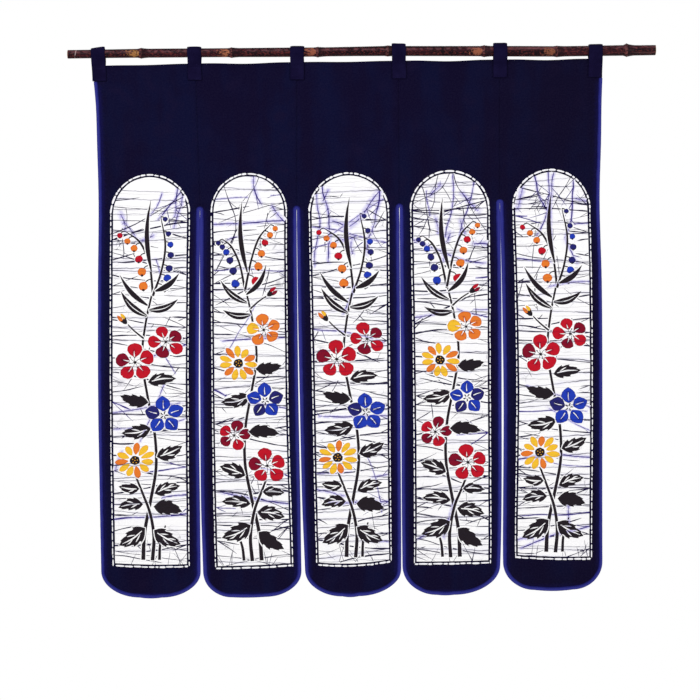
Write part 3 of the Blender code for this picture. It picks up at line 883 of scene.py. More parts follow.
def framePoint(strip, along, inset):  # on the window's border, from its lower left corner round the arch
    half = window["halfWidth"]
    side = window["heights"][strip] - half
    arch = math.pi * half
    reach = half - inset
    if along < side:
        return (-reach, along)
    if along < side + arch:
        turn = (along - side) / half
        return (-reach * math.cos(turn), side + reach * math.sin(turn))
    if along < 2 * side + arch:
        return (reach, 2 * side + arch - along)
    x = half - (along - 2 * side - arch)
    sag = window["lowSags"][strip] * (1 - (x / half) ** 2)
    return (x, inset - sag + window["lowTilts"][strip] * x / (2 * half))


def dash(strip, start, end, thinness):
    shares = np.array((0, 0.12, 0.35, 0.65, 0.88, 1))
    middle = window["dashWidth"] / 2 + chance.uniform(-0.3, 0.3)
    swell = np.array((0.3, 0.85, 1, chance.uniform(0.75, 1), 0.85, 0.3))
    half = window["dashWidth"] / 2 * thinness * chance.uniform(0.78, 1.12) * swell
    half = np.minimum(half, (end - start) * 0.55)
    places = start + (end - start) * shares
    outer = [framePoint(strip, s, middle - h) for s, h in zip(places, half)]
    inner = [framePoint(strip, s, middle + h) for s, h in zip(places, half)]
    return region(outer + inner[::-1], "dash")


def windowFrame(strip):
    half = window["halfWidth"]
    side = window["heights"][strip] - half
    arch = math.pi * half
    border = window["dashWidth"] + window["lineWidth"]
    runs = ((1.0, side, "sideDash"), (side, side + arch, "archDash"),
            (side + arch, 2 * side + arch - 1.0, "sideDash"),
            (2 * side + arch + 2.5, 2 * side + arch + 2 * half - 2.5, "archDash"))
    drawn = []
    for start, end, kind in runs:
        place = start + chance.uniform(0.5, 1.5)
        while place < end - 2.4:
            length = min(chance.uniform(*window[kind]), end - place)
            onSide = kind == "sideDash"
            drawn.append(dash(strip, place, place + length, window["sideThinness"] if onSide else 1))
            gap = chance.uniform(*window["gap" if chance.random() < window["gapShare"] else "narrowGap"])
            place += length + gap * (1 if onSide else window["archGapShare"])
    ground = []
    for s in np.arange(border + 3, 2 * side + arch - border - 2, 7.0):
        wobble = window["wobble"] * (float(softNoise(np.array(s / 19.0), np.array(0.5), strip)) - 0.5) * 2
        ground.append(framePoint(strip, s, border + wobble))
    for x in np.linspace(half - border, -half + border, 9):
        ground.append((x, framePoint(strip, 2 * side + arch + half - x, border)[1]))
    return drawn + [region(ground, "ground")]


def ontoCloth(strip, points):  # from a window's millimetres to the cloth
    drop = (window["bottomDrops"][strip] - points[:, 1]) * mm
    left, right = clothSides(strip, drop)
    width = 1 - window["lowNarrowing"] * (1 - np.clip(points[:, 1] / window["heights"][strip], 0, 1))
    share = points[:, 0] / window["halfWidth"] / 2 + 0.5
    leftShift, rightShift = (np.interp(points[:, 1], window["shiftHeights"], window[key][strip])
                             for key in ("leftShifts", "rightShifts"))
    shift = leftShift * (1 - share) + rightShift * share
    return np.stack([(left + right) / 2 + (points[:, 0] * width + shift) * mm, drop], axis=1)


def counterClockwise(points):
    x, y = points[:, 0], points[:, 1]
    area = np.sum(x * np.roll(y, -1) - np.roll(x, -1) * y)
    return points if area > 0 else points[::-1]


def insideOf(shape, x, y):  # which points lie within an outline
    near = np.where((x > shape[:, 0].min()) & (x < shape[:, 0].max())
                    & (y > shape[:, 1].min()) & (y < shape[:, 1].max()))[0]
    odd = np.zeros(len(near), bool)
    px, py = x[near], y[near]
    for (x1, y1), (x2, y2) in zip(shape, np.roll(shape, -1, axis=0)):
        if y1 != y2:
            odd ^= ((y1 > py) != (y2 > py)) & (px < (x2 - x1) * (py - y1) / (y2 - y1) + x1)
    return near[odd]


def edgeBlue(strip, x, drop):  # how far the navy turns blue beside the tape
    left, right = clothSides(strip, drop)
    near = np.zeros_like(x)
    for line, toEdge in zip(lineNames[strip:strip + 2], (x - left, right - x)):
        start = archTops.get(line, tape["start"])
        beside = 1 - ease((toEdge - curtain["blueFrom"]) / curtain["blueFade"])
        near = np.maximum(near, beside * ease((drop - start) / 0.012))
    toHem = strips[strip]["hem"] - drop
    return np.maximum(near, 1 - ease((toHem - curtain["blueFrom"]) / 0.005))


def gridPoints(strip):  # points all over a strip, closer together beside its edges
    own = strips[strip]
    spacing = curtain["gridSpacing"]
    cornerTop = own["hem"] - own["bulge"] - own["cornerHeight"]
    points = []
    for row, drop in enumerate(np.arange(curtain["top"] + 0.008, own["hem"] - 0.004, spacing * 0.87)):
        left, right = (float(side[0]) for side in clothSides(strip, np.array([drop])))
        inward = 1 - math.sqrt(1 - min(max((drop - cornerTop) / own["cornerHeight"], 0), 1) ** 2)
        left += own["corners"][0] * inward
        right -= own["corners"][1] * inward
        first, last = left + curtain["gridInset"], right - curtain["gridInset"]
        x = list(np.arange(first + (row % 2) * spacing / 2, last, spacing))
        x += [left + inset for inset in curtain["edgeInsets"]]
        x += [right - inset for inset in curtain["edgeInsets"]]
        points += [(place, drop) for place in x]
    return points


def makeStrip(strip, material):
    cracked, creeps = windowCracks(strip)
    drawing = windowFrame(strip) + cracked + (firstDrawing() if strip % 2 == 0 else secondDrawing())
    shapes = [clothOutline(strip)] + [ontoCloth(strip, one["points"]) for one in drawing]
    names = ["navy"] + [one["dye"] for one in drawing]
    flip = np.array((1, -1)) / mm  # x and height in millimetres, for the triangles
    points, loops = [], []
    for shape in shapes:
        shape = counterClockwise(shape * flip)
        loops.append(list(range(len(points), len(points) + len(shape))))
        points += [tuple(point) for point in shape]
    for one in drawing:  # a ring of points inside each dyed shape, for its paler middle
        if one["dye"] + "Rim" in dyes:
            points += [tuple(point) for point in ontoCloth(strip, grown(one["points"], -1.3)) * flip]
    points += [tuple(point) for point in np.array(gridPoints(strip)) * flip]
    flat, _, faces, _, _, _ = delaunay_2d_cdt(points, [], loops, 0, 1e-4, False)
    flat = np.array([tuple(point) for point in flat]) / flip
    faces = np.array([tuple(face) for face in faces])
    middles = flat[faces].mean(axis=1)
    owner = np.full(len(faces), -1)
    for number, shape in enumerate(shapes):
        owner[insideOf(shape, middles[:, 0], middles[:, 1])] = number
    kept = insideOf(shapes[0], middles[:, 0], middles[:, 1])
    faces = [tuple(int(corner) for corner in face) for face in faces[kept]]
    dyeOf = [names[number] for number in owner[kept]]
    x, drop = flat[:, 0], flat[:, 1]
    middle = clothPoints(strip, x, drop)
    normals = clothNormals(strip, x, drop)
    half = curtain["thickness"] / 2
    count = len(flat)
    allPoints = np.vstack([middle + normals * half, middle - normals * half])
    edges = {(a, b) for face in faces for a, b in zip(face, face[1:] + face[:1])}
    rimFaces = [(b, a, a + count, b + count) for a, b in edges if (b, a) not in edges]
    back = [tuple(corner + count for corner in face[::-1]) for face in faces]
    piece = makeMesh(f"clothStrip{strip + 1}", allPoints, faces + back + sorted(rimFaces), material)
    paintStrip(piece, faces, dyeOf, count, len(rimFaces))
    giveValues(piece, "bluer", np.tile(edgeBlue(strip, x, drop), 2))
    giveValues(piece, "crept", np.tile(creptDye(strip, creeps, x, drop), 2))
    return piece


def paintStrip(piece, faces, dyeOf, count, rimCount):
    seen = [set() for _ in range(count)]
    for face, dye in zip(faces, dyeOf):
        for corner in face:
            seen[corner].add(dye)
    colours, wax = [], []
    for backSide in (False, True):
        for face, dye in zip(faces, dyeOf):
            for corner in face[::-1] if backSide else face:
                onRim = len(seen[corner]) > 1 and dye + "Rim" in dyes
                colours.append(dyes[dye + "Rim"] if onRim else dyes[dye])
                wax.append(waxed.get(dye, waxed["other"]))
    colours += [dyes["navy"]] * (4 * rimCount)
    wax += [0.0] * (4 * rimCount)
    dyeAttribute = piece.data.color_attributes.new("dye", "FLOAT_COLOR", "CORNER")
    dyeAttribute.data.foreach_set("color", np.array(colours, np.float32).ravel())
    giveValues(piece, "wax", wax, "CORNER")


# Cloth finishes

crackle = {
    "ink": screen(24, 16, 54),
    "haze": screen(200, 196, 238),
    "crept": screen(166, 157, 226),
    "stripPitch": 0.170,
    "firstCentre": -0.340,
    "layers": (
        dict(seed=1, spacing=0.0165, slopes=0.10, fine=0.00035, bold=0.00085, bare=0.22, broken=0.42),
        dict(seed=2, spacing=0.0270, slopes=0.20, fine=0.00040, bold=0.00100, bare=0.12, broken=0.42),
        dict(seed=3, spacing=0.0075, slopes=0.12, fine=0.00025, bold=0.00050, bare=0.30, broken=0.48),
    ),
}
navyCloth = {
    "band": screen(8, 12, 46),
    "warm": screen(22, 12, 40),
    "bluer": screen(17, 15, 74),
    "rightShade": screen(10, 7, 26),
    "dust": screen(80, 76, 110),
    "thread": 0.00062,
}


def crackLines(board, across, down, seed, spacing, slopes, fine, bold, bare, broken):
    # cracks a spacing apart, each with its own slope, some bare, some bold and some broken along their run
    drift = board.noise(across, down, 8.0, 1.0, seed)
    shiver = board.noise(across, down, 60.0, 2.0, seed + 4)
    lane = down / spacing + (drift - 0.5) * (0.009 / spacing)
    lane = lane + (shiver - 0.5) * (0.0042 / spacing) + seed * 13.7
    row = lane.floor()
    offset = (board.luck(row + seed) - 0.5) * 0.55
    slope = (board.luck(row + seed + 57.1) - 0.5) * slopes
    distance = abs((lane.fraction() - 0.5 - offset) * spacing + across * slope)
    strength = board.luck(row * 1.7 + seed + 31.3).rise(bare, bare + 0.55)
    run = board.noise(across + row * 0.37, row * 0.11, 11.0, 2.0, seed + 8).rise(broken - 0.08, broken + 0.10)
    power = strength * (run * 0.8 + 0.2)
    width = power * (bold - fine) + fine
    line = (1 - (distance / width).rise(0.45, 1.0)) * power.rise(0.02, 0.22)
    halo = (1 - (distance / (width * 5)).rise(0.1, 1.0)) * power
    return line, halo


def crackleMasks(board, x, z):
    strip = ((x - curtain["centreX"] - crackle["firstCentre"]) / crackle["stripPitch"] + 0.5).floor()
    local = (x - curtain["centreX"] - crackle["firstCentre"]) - strip * crackle["stripPitch"]
    nearSide = abs(local).rise(0.015, 0.060)
    down = z + strip * 3.1
    side = nearSide * 0.4 + 0.6
    (first, firstHalo), (second, secondHalo), (third, _) = (
        crackLines(board, local, down, **layer) for layer in crackle["layers"])
    bend = board.noise(local, down, 40.0, 2.0, 21) * 0.012
    spread = board.place((local + bend) * 42, (down + bend) * 96)
    net = board.add("ShaderNodeTexVoronoi", {"feature": "DISTANCE_TO_EDGE"}, {"Vector": spread, "Scale": 1.0})
    patches = board.noise(local, down, 24.0, 2.0, 33).rise(0.52, 0.66) * (nearSide * 0.7 + 0.15)
    branches = (1 - net.rise(0.010, 0.035)) * patches
    dark = (first * side).most(second * side * 0.9).most(third * 0.28).most(branches * 0.5)
    halo = (firstHalo * 0.25).most(secondHalo * 0.3).most(patches * 0.15)
    return dark, halo


def dyedCotton():
    material, board, shader, (x, _, z) = startMaterial("dyedCotton")
    dye = board.add("ShaderNodeAttribute", {"attribute_name": "dye"}, out="Color")
    wax = board.add("ShaderNodeAttribute", {"attribute_name": "wax"}, out="Fac")
    crept = board.add("ShaderNodeAttribute", {"attribute_name": "crept"}, out="Fac")
    dark, halo = crackleMasks(board, x, z)
    blotch = board.noise(x, z, 26.0, 3.0, 2)
    stain = board.noise(x, z, 190.0, 3.0, 27)
    speckle = board.noise(x, z, 420.0, 2.0, 6)
    haze = (halo * 0.8 + blotch.rise(0.58, 0.78) * 0.16) * wax.rise(0.5, 1.0)
    colour = board.blend(haze.least(1), dye, crackle["haze"])
    crept = crept * stain.rise(0.22, 0.60) * wax.rise(0.5, 1.0)
    colour = board.blend((crept * 0.95).least(1), colour, crackle["crept"])
    colour = board.blend((dark * wax * 1.1).least(0.92), colour, crackle["ink"])
    # the navy ground: dye a little uneven in long soft bands
    band = board.noise(x * 3.2, z * 0.5, 7.0, 2.0, 3)
    navy = 1 - wax.rise(0.0, 0.08)
    bands = (band * 0.7 + blotch * 0.3).rise(0.42, 0.62)
    colour = board.blend(bands * navy * 0.75, colour, navyCloth["band"])
    colour = board.blend(blotch.rise(0.52, 0.75) * navy * 0.4, colour, navyCloth["warm"])
    bluer = board.add("ShaderNodeAttribute", {"attribute_name": "bluer"}, out="Fac")
    colour = board.blend(bluer * navy * 0.75, colour, navyCloth["bluer"])
    colour = board.blend(x.rise(0.02, 0.36) * navy * 0.3, colour, navyCloth["rightShade"])
    colour = board.blend(speckle.rise(0.3, 0.75) * 0.05, colour, navyCloth["dust"])
    perThread = math.tau / navyCloth["thread"]
    weave = (x * perThread).sine() * (z * perThread).sine()
    slub = board.noise(x * 30, z * 900, 1.0, 2.0, 9) + board.noise(x * 900, z * 30, 1.0, 2.0, 12)
    height = weave * 0.25 + slub * 0.35 + board.noise(x, z, 210.0, 3.0, 15) * 0.6
    fixed = {"Roughness": 0.95, "Specular IOR Level": 0.04}
    finishMaterial(board, shader, colour, height, 0.00012, fixed)
    return material


def plainCotton(name, base, light, edgeLight=0.0):
    material, board, shader, (x, y, z) = startMaterial(name)
    blotch = board.noise(x + y, z, 34.0, 3.0, 2)
    speckle = board.noise(x + y, z, 500.0, 2.0, 6)
    mix = blotch.rise(0.35, 0.75) * 0.45 + speckle.rise(0.35, 0.8) * 0.25
    if edgeLight:
        # painted highlight: the tape turns paler towards its folded edge, as if light catches it there
        foldHighlight = board.add("ShaderNodeAttribute", {"attribute_name": "foldHighlight"}, out="Fac")
        mix = (mix * 0.6 + foldHighlight * edgeLight).least(1)
    colour = board.blend(mix, base, light)
    if edgeLight:
        glow = board.add("ShaderNodeAttribute", {"attribute_name": "glow"}, out="Fac")
        colour = board.blend(glow * 0.8, colour, tape["glow"])
    perThread = math.tau / 0.00055
    weave = ((x + y) * perThread).sine() * (z * perThread).sine()
    height = weave * 0.3 + board.noise(x + y, z, 260.0, 3.0, 15)
    fixed = {"Roughness": 0.92, "Specular IOR Level": 0.05}
    finishMaterial(board, shader, colour, height, 0.00012, fixed)
    return material


print("cloth: drawing and dyeing five strips")
cottonMaterial = dyedCotton()
clothStrips = [makeStrip(strip, cottonMaterial) for strip in range(len(strips))]
for strip, piece in enumerate(clothStrips):
    print(f"  {piece.name}: {len(piece.data.polygons)} faces")


# Tape folded over the edges

def tapePath():  # strip, x and drop along the whole tape
    path = []
    for strip in range(len(strips)):
        left, right = lineNames[strip], lineNames[strip + 1]
        leftStart = slitCentre(left) + curtain["slitEdge"] * 3 if left in archTops else tape["start"]
        rightStart = slitCentre(right) + curtain["slitEdge"] * 3 if right in archTops else tape["start"]
        path += [(strip, x, drop) for x, drop in bottomRun(strip, leftStart, rightStart)]
        if right in archTops:
            centre = slitCentre(right)
            seamX = float(curve(lineTable, right, np.array([centre]))[0])
            for turn in np.linspace(0, math.pi, tape["archSteps"] + 1):
                side = strip if turn < math.pi / 2 else strip + 1
                edge = curtain["slitEdge"]
                path.append((side, seamX - edge * math.cos(turn), centre - edge * math.sin(turn)))
    return path


def pathFrames(path):  # points on the cloth's edge, with the directions away from the cloth and to the front
    points, fronts = np.zeros((len(path), 3)), np.zeros((len(path), 3))
    for strip in range(len(strips)):
        rows = [i for i, place in enumerate(path) if place[0] == strip]
        x = np.array([path[i][1] for i in rows])
        drop = np.array([path[i][2] for i in rows])
        points[rows] = clothPoints(strip, x, drop)
        fronts[rows] = clothNormals(strip, x, drop)
    travel = np.zeros_like(points)
    travel[1:-1] = points[2:] - points[:-2]
    travel[0], travel[-1] = points[1] - points[0], points[-1] - points[-2]
    travel /= np.linalg.norm(travel, axis=1, keepdims=True)
    outward = np.cross(travel, fronts)
    outward /= np.linalg.norm(outward, axis=1, keepdims=True)
    return points, travel, outward, fronts


def tapeSection():
    # each point's distances out from the cloth's edge and to the front, and its share of painted highlight,
    # which grows towards the fold
    inside = curtain["thickness"] / 2 + tape["clear"]
    outside = inside + tape["thickness"]
    cover = tape["reach"] - tape["width"]
    gap = tape["reach"] - tape["thickness"]
    fold = [(math.cos(a), math.sin(a)) for a in np.linspace(-math.pi / 2, math.pi / 2, 7)]
    section = [(cover, inside, 0), (cover * 0.5, inside, 0), (gap, inside, 0), (gap, -inside, 0)]
    section += [(cover * 0.5, -inside, 0), (cover, -inside, 0), (cover - 0.0002, -(inside + outside) / 2, 0)]
    # painted highlight: the outer half is the palest, most of all round the fold
    outerHighlight = ((cover + 0.0002, 0.1), (-0.0042, 0.25), (-0.0034, 0.5), (-0.0025, 0.95))
    section += [(out, -outside, foldHighlight) for out, foldHighlight in outerHighlight]
    for c, s in fold:
        section.append((tape["reach"] - outside * 0.8 * (1 - c), s * outside * 1.1, 0.9 + 0.1 * max(0, c)))
    section += [(out, outside, foldHighlight) for out, foldHighlight in outerHighlight[::-1]]
    section += [(cover - 0.0002, (inside + outside) / 2, 0)]
    return section


def makeTape(path, material):
    points, _, outward, fronts = pathFrames(path)
    section = tapeSection()
    distance = distanceAlong(points)
    ripple = 0.00012 * np.sin(distance / 0.0034) + 0.0002 * (softNoise(distance * 60, distance * 0, 4) - 0.5)
    fuller, glow = np.zeros(len(path)), np.zeros(len(path))
    for i, (strip, _, drop) in enumerate(path):
        line = lineNames[strip + int(outward[i][0] > 0)]
        if line in archTops:
            inSlit = float(ease((drop - archTops[line] - 0.008) / 0.03) * ease(abs(outward[i][0]) * 3 - 1.6))
            fuller[i] = tape["puff"] * inSlit
            glow[i] = inSlit * ease(float(curve(gapTable, line, drop)) / 0.0016)
    rings = []
    for out, ahead, foldHighlight in section:
        sway = (ripple if ahead > 0 else ripple * 0.6) * (1 if out < -0.004 else 0.2)
        sway = sway + (fuller if out > 0 else 0)
        lift = ahead + 0.25 * sway * np.sign(ahead)
        rings.append(points + outward * (out + sway)[:, None] + fronts * lift[:, None])
    allPoints = np.stack(rings, axis=1).reshape(-1, 3)
    faces = loftFaces(len(path), len(section))
    piece = makeMesh("edgeTape", allPoints, [face[::-1] for face in faces], material)
    # the painted highlight towards the fold, kept on the points for the shader
    foldHighlights = np.array([c for _, _, c in section])
    turns = np.maximum(foldHighlights - 0.95, 0) / 0.05  # only round the fold, where light comes through a slit
    giveValues(piece, "foldHighlight", np.tile(foldHighlights, len(path)))
    giveValues(piece, "glow", np.outer(glow, turns))
    return piece


print("tape: folding it over the edges")
tapeMaterial = plainCotton("blueTape", tape["dark"], tape["light"], 1.0)
edgePath = tapePath()
edgeTape = makeTape(edgePath, tapeMaterial)


# Rod sizes, which the tabs need too

rod = {
    "places": (-0.4972, -0.3724, -0.2194, -0.0734, 0.0446, 0.2076, 0.3306, 0.4486, 0.4972),  # ends and joints
    "rises": (-0.0003, 0.0005, 0.0005, 0.0005, 0.0014, -0.0004, -0.0019, -0.0009, -0.0006),
    "radii": (0.0072, 0.0075, 0.0077, 0.0079, 0.0084, 0.0088, 0.0089, 0.0089, 0.0088),
    "swellings": (0, 0.0016, 0.0014, 0.0010, 0.0010, 0.0014, 0.0010, 0.0022, 0),
    "boreRadius": 0.0036,
    "boreDepth": 0.012,
    "endRounding": 0.0006,
    "sides": 40,
    "ringSpacing": 0.0022,
    "ringMark": -0.4833,
    "patches": (0, 0.62, 0.85, 0.75, 0, 0.72, 0.5, 0, 0),  # how pale the skin is left of each joint
    "patchGold": (0, 1, 0.35, 0.15, 0, 0.2, 0.3, 0, 0),  # from brown to golden
    "ringGroove": 0.0004,  # cut round each joint
    "scarHeight": 0.0009,  # where a twig was cut off at each joint
    "twigGroove": 0.0006,  # along the cane beside it
    "ridge": ((-0.0065, -0.003, -0.0005, 0.0015, 0.0045, 0.012), (0, 0.45, 1, 0.85, 0.4, 0)),
}
bamboo = {
    "dark": screen(26, 5, 14),
    "brown": screen(54, 17, 28),
    "cloud": screen(15, 3, 12),
    "fleck": screen(112, 46, 44),
    "mottle": screen(112, 52, 48),
    "streak": screen(124, 80, 82),
    "lit": screen(138, 90, 98),
    "topShade": screen(17, 7, 13),
    "sheath": screen(26, 8, 18),
    # painted highlight on each joint's bulge
    "knobHighlight": screen(132, 76, 74),
    "groove": screen(24, 9, 14),
    "ringMark": screen(176, 150, 150),
    "endFace": screen(168, 132, 92),
}


def rodValue(key, x):
    return np.interp(x, rod["places"], rod[key])


# Tabs

def tabLine(radius, rise, slack, end):
    # how far back and up each point is, from the tab's front end over the rod to its back end
    loop = radius + tabs["clear"] + tabs["solid"] / 2
    beside = tabs["clothSolid"] / 2 + tabs["clear"] + tabs["solid"] / 2
    meet = curtain["top"] + tabs["bend"]
    touch = math.atan2(-meet - rise, beside) + math.acos(loop / math.hypot(beside, meet + rise))
    turns = np.linspace(touch, math.pi / 2, 14)
    back = [(beside, -end), (beside, -end + 0.006), (beside, -meet - 0.006), (beside + 0.0001, -meet)]
    foot, hip = np.array(back[-1]), np.array((loop * math.cos(touch), rise + loop * math.sin(touch)))
    back += [tuple(foot + (hip - foot) * t) for t in (0.3, 0.6)]
    for turn in turns:
        lift = slack * float(ease(math.sin(turn)))
        back.append((loop * math.cos(turn), rise + loop * math.sin(turn) + lift))
    front = [(-y, z) for y, z in back]
    return smoothPath(front + back[-2::-1], 3)


def makeTab(number, material):
    place, lean, end, slackLeft, slackRight = (tabs[key][number] for key in
                                               ("places", "leans", "ends", "slackLeft", "slackRight"))
    width, thick = tabs["width"], tabs["thickness"]
    centre = curtain["centreX"] + place
    radius = max(rodValue("radii", centre + side * width / 2) for side in (-1, 1))
    columns = []
    for across in np.linspace(-1, 1, 11):
        slack = slackLeft + (slackRight - slackLeft) * (across + 1) / 2
        line = tabLine(radius, rodValue("rises", centre + across * width / 2), slack, end)
        ahead = np.gradient(line, axis=0)
        ahead /= np.linalg.norm(ahead, axis=1, keepdims=True)
        columns.append((across, line, np.stack([-ahead[:, 1], ahead[:, 0]], axis=1)))
    middle = columns[len(columns) // 2][1]
    distance = distanceAlong(middle)
    points = []
    for i, run in enumerate(distance):
        toEnd = min(run, distance[-1] - run)
        tuck = min(1, 0.45 + 0.55 * math.sqrt(min(toEnd / 0.0015, 1)))
        for face, row in ((1, columns), (-1, columns[::-1])):
            for across, line, outward in row:
                y, z = line[i]
                edge = math.sqrt(max(1 - abs(across) ** 6, 0.06))
                soft = 1 + 0.10 * math.sin(run * 420 + across * 3 + number)
                half = thick / 2 * edge * tuck * (soft if face > 0 else 1)
                x = centre + lean * (z + end) / (0.012 + end) + across * width / 2
                x += 0.0003 * math.sin(run * 160 + number * 2) * (1 if across > 0 else 0.4)
                points.append((x, y + outward[i][0] * half * face, z + outward[i][1] * half * face))
    faces = loftFaces(len(middle), 2 * len(columns))
    return makeMesh(f"tab{number + 1}", points, faces, material), distance[-1]


print("tabs: looping six over the rod")
tabMaterial = plainCotton("navyTab", tabs["dark"], tabs["light"])
tabPieces = [makeTab(number, tabMaterial) for number in range(len(tabs["places"]))]


# Rod

def bambooMaterial():
    material, board, shader, (x, y, z) = startMaterial("darkBamboo")
    grains = ((9, 300, 5.0), (150, 210, 4.0), (22, 60, 3.0), (5, 130, 2.0), (260, 480, 4.0))
    grain, mottle, cloud, streak, fleck = (board.noise(x * along, y * around, 1.0, detail, z * around)
                                           for along, around, detail in grains)
    colour = board.blend(grain.rise(0.35, 0.7), bamboo["dark"], bamboo["brown"])
    colour = board.blend(cloud.rise(0.44, 0.60) * 0.9, colour, bamboo["cloud"])
    colour = board.blend(fleck.rise(0.52, 0.64) * 0.55, colour, bamboo["fleck"])
    colour = board.blend(mottle.rise(0.58, 0.68) * 0.35, colour, bamboo["mottle"])
    colour = board.blend(streak.rise(0.60, 0.72) * 0.3, colour, bamboo["streak"])
    lit = (1 - abs(z - 0.0032).rise(0.0006, 0.0030)) * (0 - y).rise(0, 0.003) * mottle.rise(0.40, 0.60)
    colour = board.blend(lit * 0.32, colour, bamboo["lit"])
    colour = board.blend(z.rise(0.0042, 0.0078) * 0.55, colour, bamboo["topShade"])
    joints = zip(*(rod[key][1:-1] for key in ("places", "patches", "patchGold", "rises")))
    for joint, strength, gold, rise in joints:
        fromJoint = x - joint
        sheath = fromJoint.rise(-0.0015, 0.0005) * (1 - fromJoint.rise(0.004, 0.016))
        colour = board.blend(sheath * 0.6, colour, bamboo["sheath"])
        if strength:  # pale skin on the front, flecked away to the left, with a round end before the joint
            reach = (fromJoint + (cloud - 0.5) * 0.024).rise(-0.034, -0.007)
            tip = fromJoint.rise(-0.0105, -0.0030)
            off = abs(z - rise + 0.0009) / (0.0078 - tip * 0.0046) + (mottle - 0.5) * 0.9
            flecked = fleck.rise(0.60 - reach * 0.26, 0.74 - reach * 0.28)
            front = (0 - y).rise(-0.002, 0.002)
            skin = (1 - off.rise(0.62, 1.05)) * (1 - fromJoint.rise(-0.0046, -0.0026)) * front * flecked
            pale = screen(164 + 34 * gold, 92 + 48 * gold, 74 + 4 * gold)
            colour = board.blend(skin * (reach * 0.55 + 0.4) * reach.rise(0, 0.12) * strength, colour, pale)
        # painted highlight: a pale pinkish ring round each joint's bulge, broken up by flecks
        knobHighlight = (1 - abs(fromJoint + 0.0012).rise(0.0008, 0.0036)) * fleck.rise(0.40, 0.66)
        colour = board.blend(knobHighlight * 0.6, colour, bamboo["knobHighlight"])
        groove = 1 - abs(fromJoint - 0.0018).rise(0.0003, 0.0012)
        colour = board.blend(groove * 0.7, colour, bamboo["groove"])
    cut = (1 - abs(x - rod["ringMark"] - z * 0.18).rise(0.0003, 0.0012)) * mottle.rise(0.36, 0.50)
    colour = board.blend(cut * 0.75, colour, bamboo["ringMark"])
    endFace = abs(x).rise(rod["places"][-1] - 0.0009, rod["places"][-1] - 0.0004)
    colour = board.blend(endFace, colour, bamboo["endFace"])
    height = grain * 0.6 + mottle * 0.5
    fixed = {"Roughness": 0.42, "Coat Weight": 0.03, "Coat Roughness": 0.25, "Specular IOR Level": 0.09}
    finishMaterial(board, shader, colour, height, 0.00025, fixed)
    return material


def makeRod(material):
    end = rod["places"][-1]
    stations = [(-end + rod["boreDepth"], "bore"), (-end, "bore"), (-end, "rim")]
    count = round(2 * end / rod["ringSpacing"])
    places = list(np.linspace(-end + rod["endRounding"], end - rod["endRounding"], count))
    joints = rod["places"][1:-1]
    for joint in joints:
        places += list(joint + np.linspace(rod["ridge"][0][0], rod["ridge"][0][-1], 29))
    stations += [(x, "skin") for x in sorted(places)]
    stations += [(end, "rim"), (end, "bore"), (end - rod["boreDepth"], "bore")]
    turns = np.arange(rod["sides"]) * math.tau / rod["sides"]
    points = []
    for x, kind in stations:
        base = rodValue("radii", x)
        if kind == "bore":
            radius = np.full(len(turns), rod["boreRadius"])
        elif kind == "rim":
            radius = np.full(len(turns), base - rod["endRounding"])
        else:
            radius = base + 0.00012 * np.sin(turns * 3 + x * 9) + 0.0001 * np.sin(turns * 2 - x * 31)
            for i, (joint, swell) in enumerate(zip(joints, rod["swellings"][1:-1])):
                d = x - joint
                ridge = np.interp(d, *rod["ridge"])
                ring = rod["ringGroove"] * math.exp(-((d - 0.0018) / 0.0006) ** 2)
                radius = radius + swell * ridge - ring
                side = 0.9 + 2.2 * i
                near = np.angle(np.exp(1j * (turns - side)))
                scar = rod["scarHeight"] * math.exp(-((d + 0.001) / 0.0028) ** 2)
                radius = radius + scar * np.exp(-(near / 0.33) ** 2)
                groove = np.exp(-(near / 0.5) ** 2) * ease((d - 0.002) / 0.02) * (1 - ease((d - 0.05) / 0.06))
                radius = radius - rod["twigGroove"] * groove
        rise = rodValue("rises", x)
        for turn, r in zip(turns, radius):
            points.append((x, r * math.cos(turn), rise + r * math.sin(turn)))
    faces = loftFaces(len(stations), rod["sides"])
    piece = makeMesh("bambooRod", points, [face[::-1] for face in faces], material)
    piece.data.set_sharp_from_angle(angle=math.radians(50))
    return piece


print("rod: turning the bamboo")
bambooRod = makeRod(bambooMaterial())


# Stitches, placed by Geometry Nodes on points that carry their direction

sewing = {
    "pitch": 0.0034,
    "length": 0.0025,
    "width": 0.00055,
    "inset": 0.0049,
    "seed": 7,
    "tabRows": (0.0022, 0.0210),  # above each tab's end
    "tabCount": 7,
    "tabPitch": 0.0031,
    "tabLength": 0.0023,
    "tabWidth": 0.0005,
    "blue": (screen(30, 38, 130), screen(54, 66, 170)),
    "navy": (screen(24, 20, 58), screen(44, 40, 88)),
}


